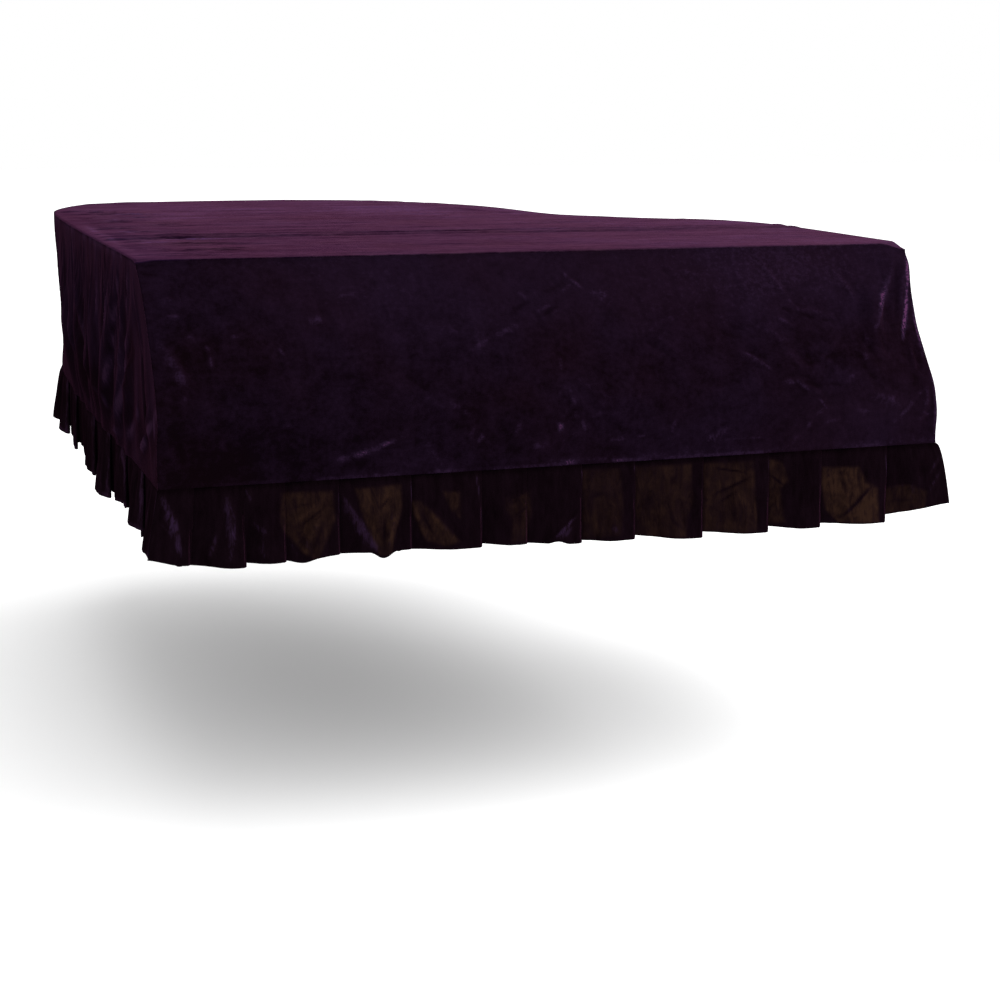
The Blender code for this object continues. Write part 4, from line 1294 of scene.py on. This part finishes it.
# The top's own colours are painted several times lighter than those of the same velvet on the front and side:
# painted light for how brightly the top is lit.
TOP_DEEP_PAINTED_LIGHTER, TOP_DEEP_WARM_PAINTED_LIGHTER = colour(0.0052, 0.0015, 0.0070), colour(0.0061, 0.0016, 0.0055)
TOP_LIT_PAINTED_LIGHTER, TOP_LIT_WARM_PAINTED_LIGHTER = colour(0.0312, 0.0127, 0.0296), colour(0.0338, 0.0132, 0.0266)
TOP_LILAC_HIGHLIGHT, TOP_GLINT = colour(0.0370, 0.0165, 0.0520), colour(0.0440, 0.0180, 0.0700)
SIDE_LILAC_HIGHLIGHT = colour(0.0135, 0.0056, 0.0140)
RIM_GLINT = colour(0.0600, 0.0190, 0.0560)
SHEEN_TINT = colour(0.26, 0.075, 0.175)
# Painted light from behind, brown where it comes through a single layer of the thin front flounce.
PAINTED_BACKLIGHT_BROWN = colour(0.0158, 0.0074, 0.0052)
ALL_WAYS, ACROSS, DOWN = (1.0, 1.0, 1.0), (0.55, 1.0, 1.0), (1.0, 0.30, 1.0)
VELVETS = (
    Velvet("plum_velvet_top", TOP_DEEP_PAINTED_LIGHTER, TOP_DEEP_WARM_PAINTED_LIGHTER, TOP_LIT_PAINTED_LIGHTER, TOP_LIT_WARM_PAINTED_LIGHTER, TOP_LILAC_HIGHLIGHT, TOP_GLINT,
           0.26, 0.34, 1.70, ACROSS, False),
    Velvet("plum_velvet_front", DEEP, DEEP_WARM, LIT, LIT_WARM, LILAC_HIGHLIGHT, RIM_GLINT,
           0.30, 0.36, 1.30, ALL_WAYS, False),
    Velvet("plum_velvet_side", DEEP, DEEP_WARM, LIT, LIT_WARM, SIDE_LILAC_HIGHLIGHT, SIDE_LILAC_HIGHLIGHT,
           0.07, 0.40, 1.0, DOWN, False),
    Velvet("thin_velvet_front", THIN_DEEP, THIN_DEEP, THIN_LIT, THIN_LIT, LILAC_HIGHLIGHT, LILAC_HIGHLIGHT,
           0.10, 0.30, 1.0, DOWN, True),
    Velvet("thin_velvet_side", THIN_DEEP, THIN_DEEP, THIN_LIT, THIN_LIT, SIDE_LILAC_HIGHLIGHT, SIDE_LILAC_HIGHLIGHT,
           0.02, 0.30, 1.0, DOWN, False),
)


def make_floor():
    """A pale floor that reaches far past the cover."""
    mesh = bpy.data.meshes.new("floor")
    plane = bmesh.new()
    bmesh.ops.create_grid(plane, x_segments=1, y_segments=1, size=FLOOR_SIZE)
    bmesh.ops.translate(plane, vec=(0.0, 0.0, FLOOR_HEIGHT), verts=plane.verts)
    plane.to_mesh(mesh)
    plane.free()
    finish = Finish("pale_floor")
    grey = colour(FLOOR_GREY, FLOOR_GREY, FLOOR_GREY)
    finish.feed(finish.shader, {"Base Color": grey, "Roughness": 0.9, "Specular IOR Level": 0.0})
    mesh.materials.append(finish.material)
    add_object("floor", mesh)


def make_studio():
    """A white surround, wide soft daylight from above and a soft window on the treble side."""
    world = bpy.data.worlds.new("studio")
    world.use_nodes = True
    backdrop = world.node_tree.nodes["Background"]
    backdrop.inputs["Color"].default_value = colour(1.0, 1.0, 1.0)
    backdrop.inputs["Strength"].default_value = SKY_LIGHT
    bpy.context.scene.world = world
    bpy.context.scene.view_settings.view_transform = "Standard"

    daylight = bpy.data.lights.new("daylight", "SUN")
    daylight.energy = DAYLIGHT
    daylight.angle = radians(90.0)
    sun = add_object("daylight", daylight)
    sun.rotation_euler = Vector(DAYLIGHT_FROM).to_track_quat("Z", "Y").to_euler()

    lamp = bpy.data.lights.new("window", "AREA")
    lamp.shape = "RECTANGLE"
    lamp.size = lamp.size_y = WINDOW_SIZE
    lamp.energy = WINDOW_WATTS
    window = add_object("window", lamp)
    window.location = WINDOW_PLACE
    window.rotation_euler = (Vector(WINDOW_AIM) - window.location).to_track_quat("-Z", "Y").to_euler()


def make_camera():
    lens = bpy.data.cameras.new("camera")
    lens.lens = LENS_MM
    lens.sensor_width = SENSOR_MM
    camera = add_object("camera", lens)
    turn = Matrix.Rotation(CAMERA_TURN, 4, "Z") @ Matrix.Rotation(pi / 2.0 - CAMERA_TILT, 4, "X")
    turn = turn @ Matrix.Rotation(CAMERA_ROLL, 4, "Z")
    camera.matrix_world = Matrix.Translation(CAMERA_PLACE) @ turn
    bpy.context.scene.camera = camera


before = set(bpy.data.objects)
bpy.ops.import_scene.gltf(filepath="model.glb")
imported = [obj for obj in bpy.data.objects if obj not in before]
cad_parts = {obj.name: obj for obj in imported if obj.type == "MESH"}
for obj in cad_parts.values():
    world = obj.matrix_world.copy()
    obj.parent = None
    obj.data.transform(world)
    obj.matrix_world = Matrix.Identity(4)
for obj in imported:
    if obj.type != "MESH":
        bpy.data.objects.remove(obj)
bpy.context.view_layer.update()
make_camera()
make_studio()
make_floor()
top_velvet, front_velvet, side_velvet, thin_front, thin_side = [velvet(kind) for kind in VELVETS]
for piece in (make_top(top_velvet), make_front(front_velvet), make_side(side_velvet)):
    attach(piece, "root")
for piece in (make_front_flounce(thin_front), make_side_flounce(thin_side)):
    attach(piece, "root")
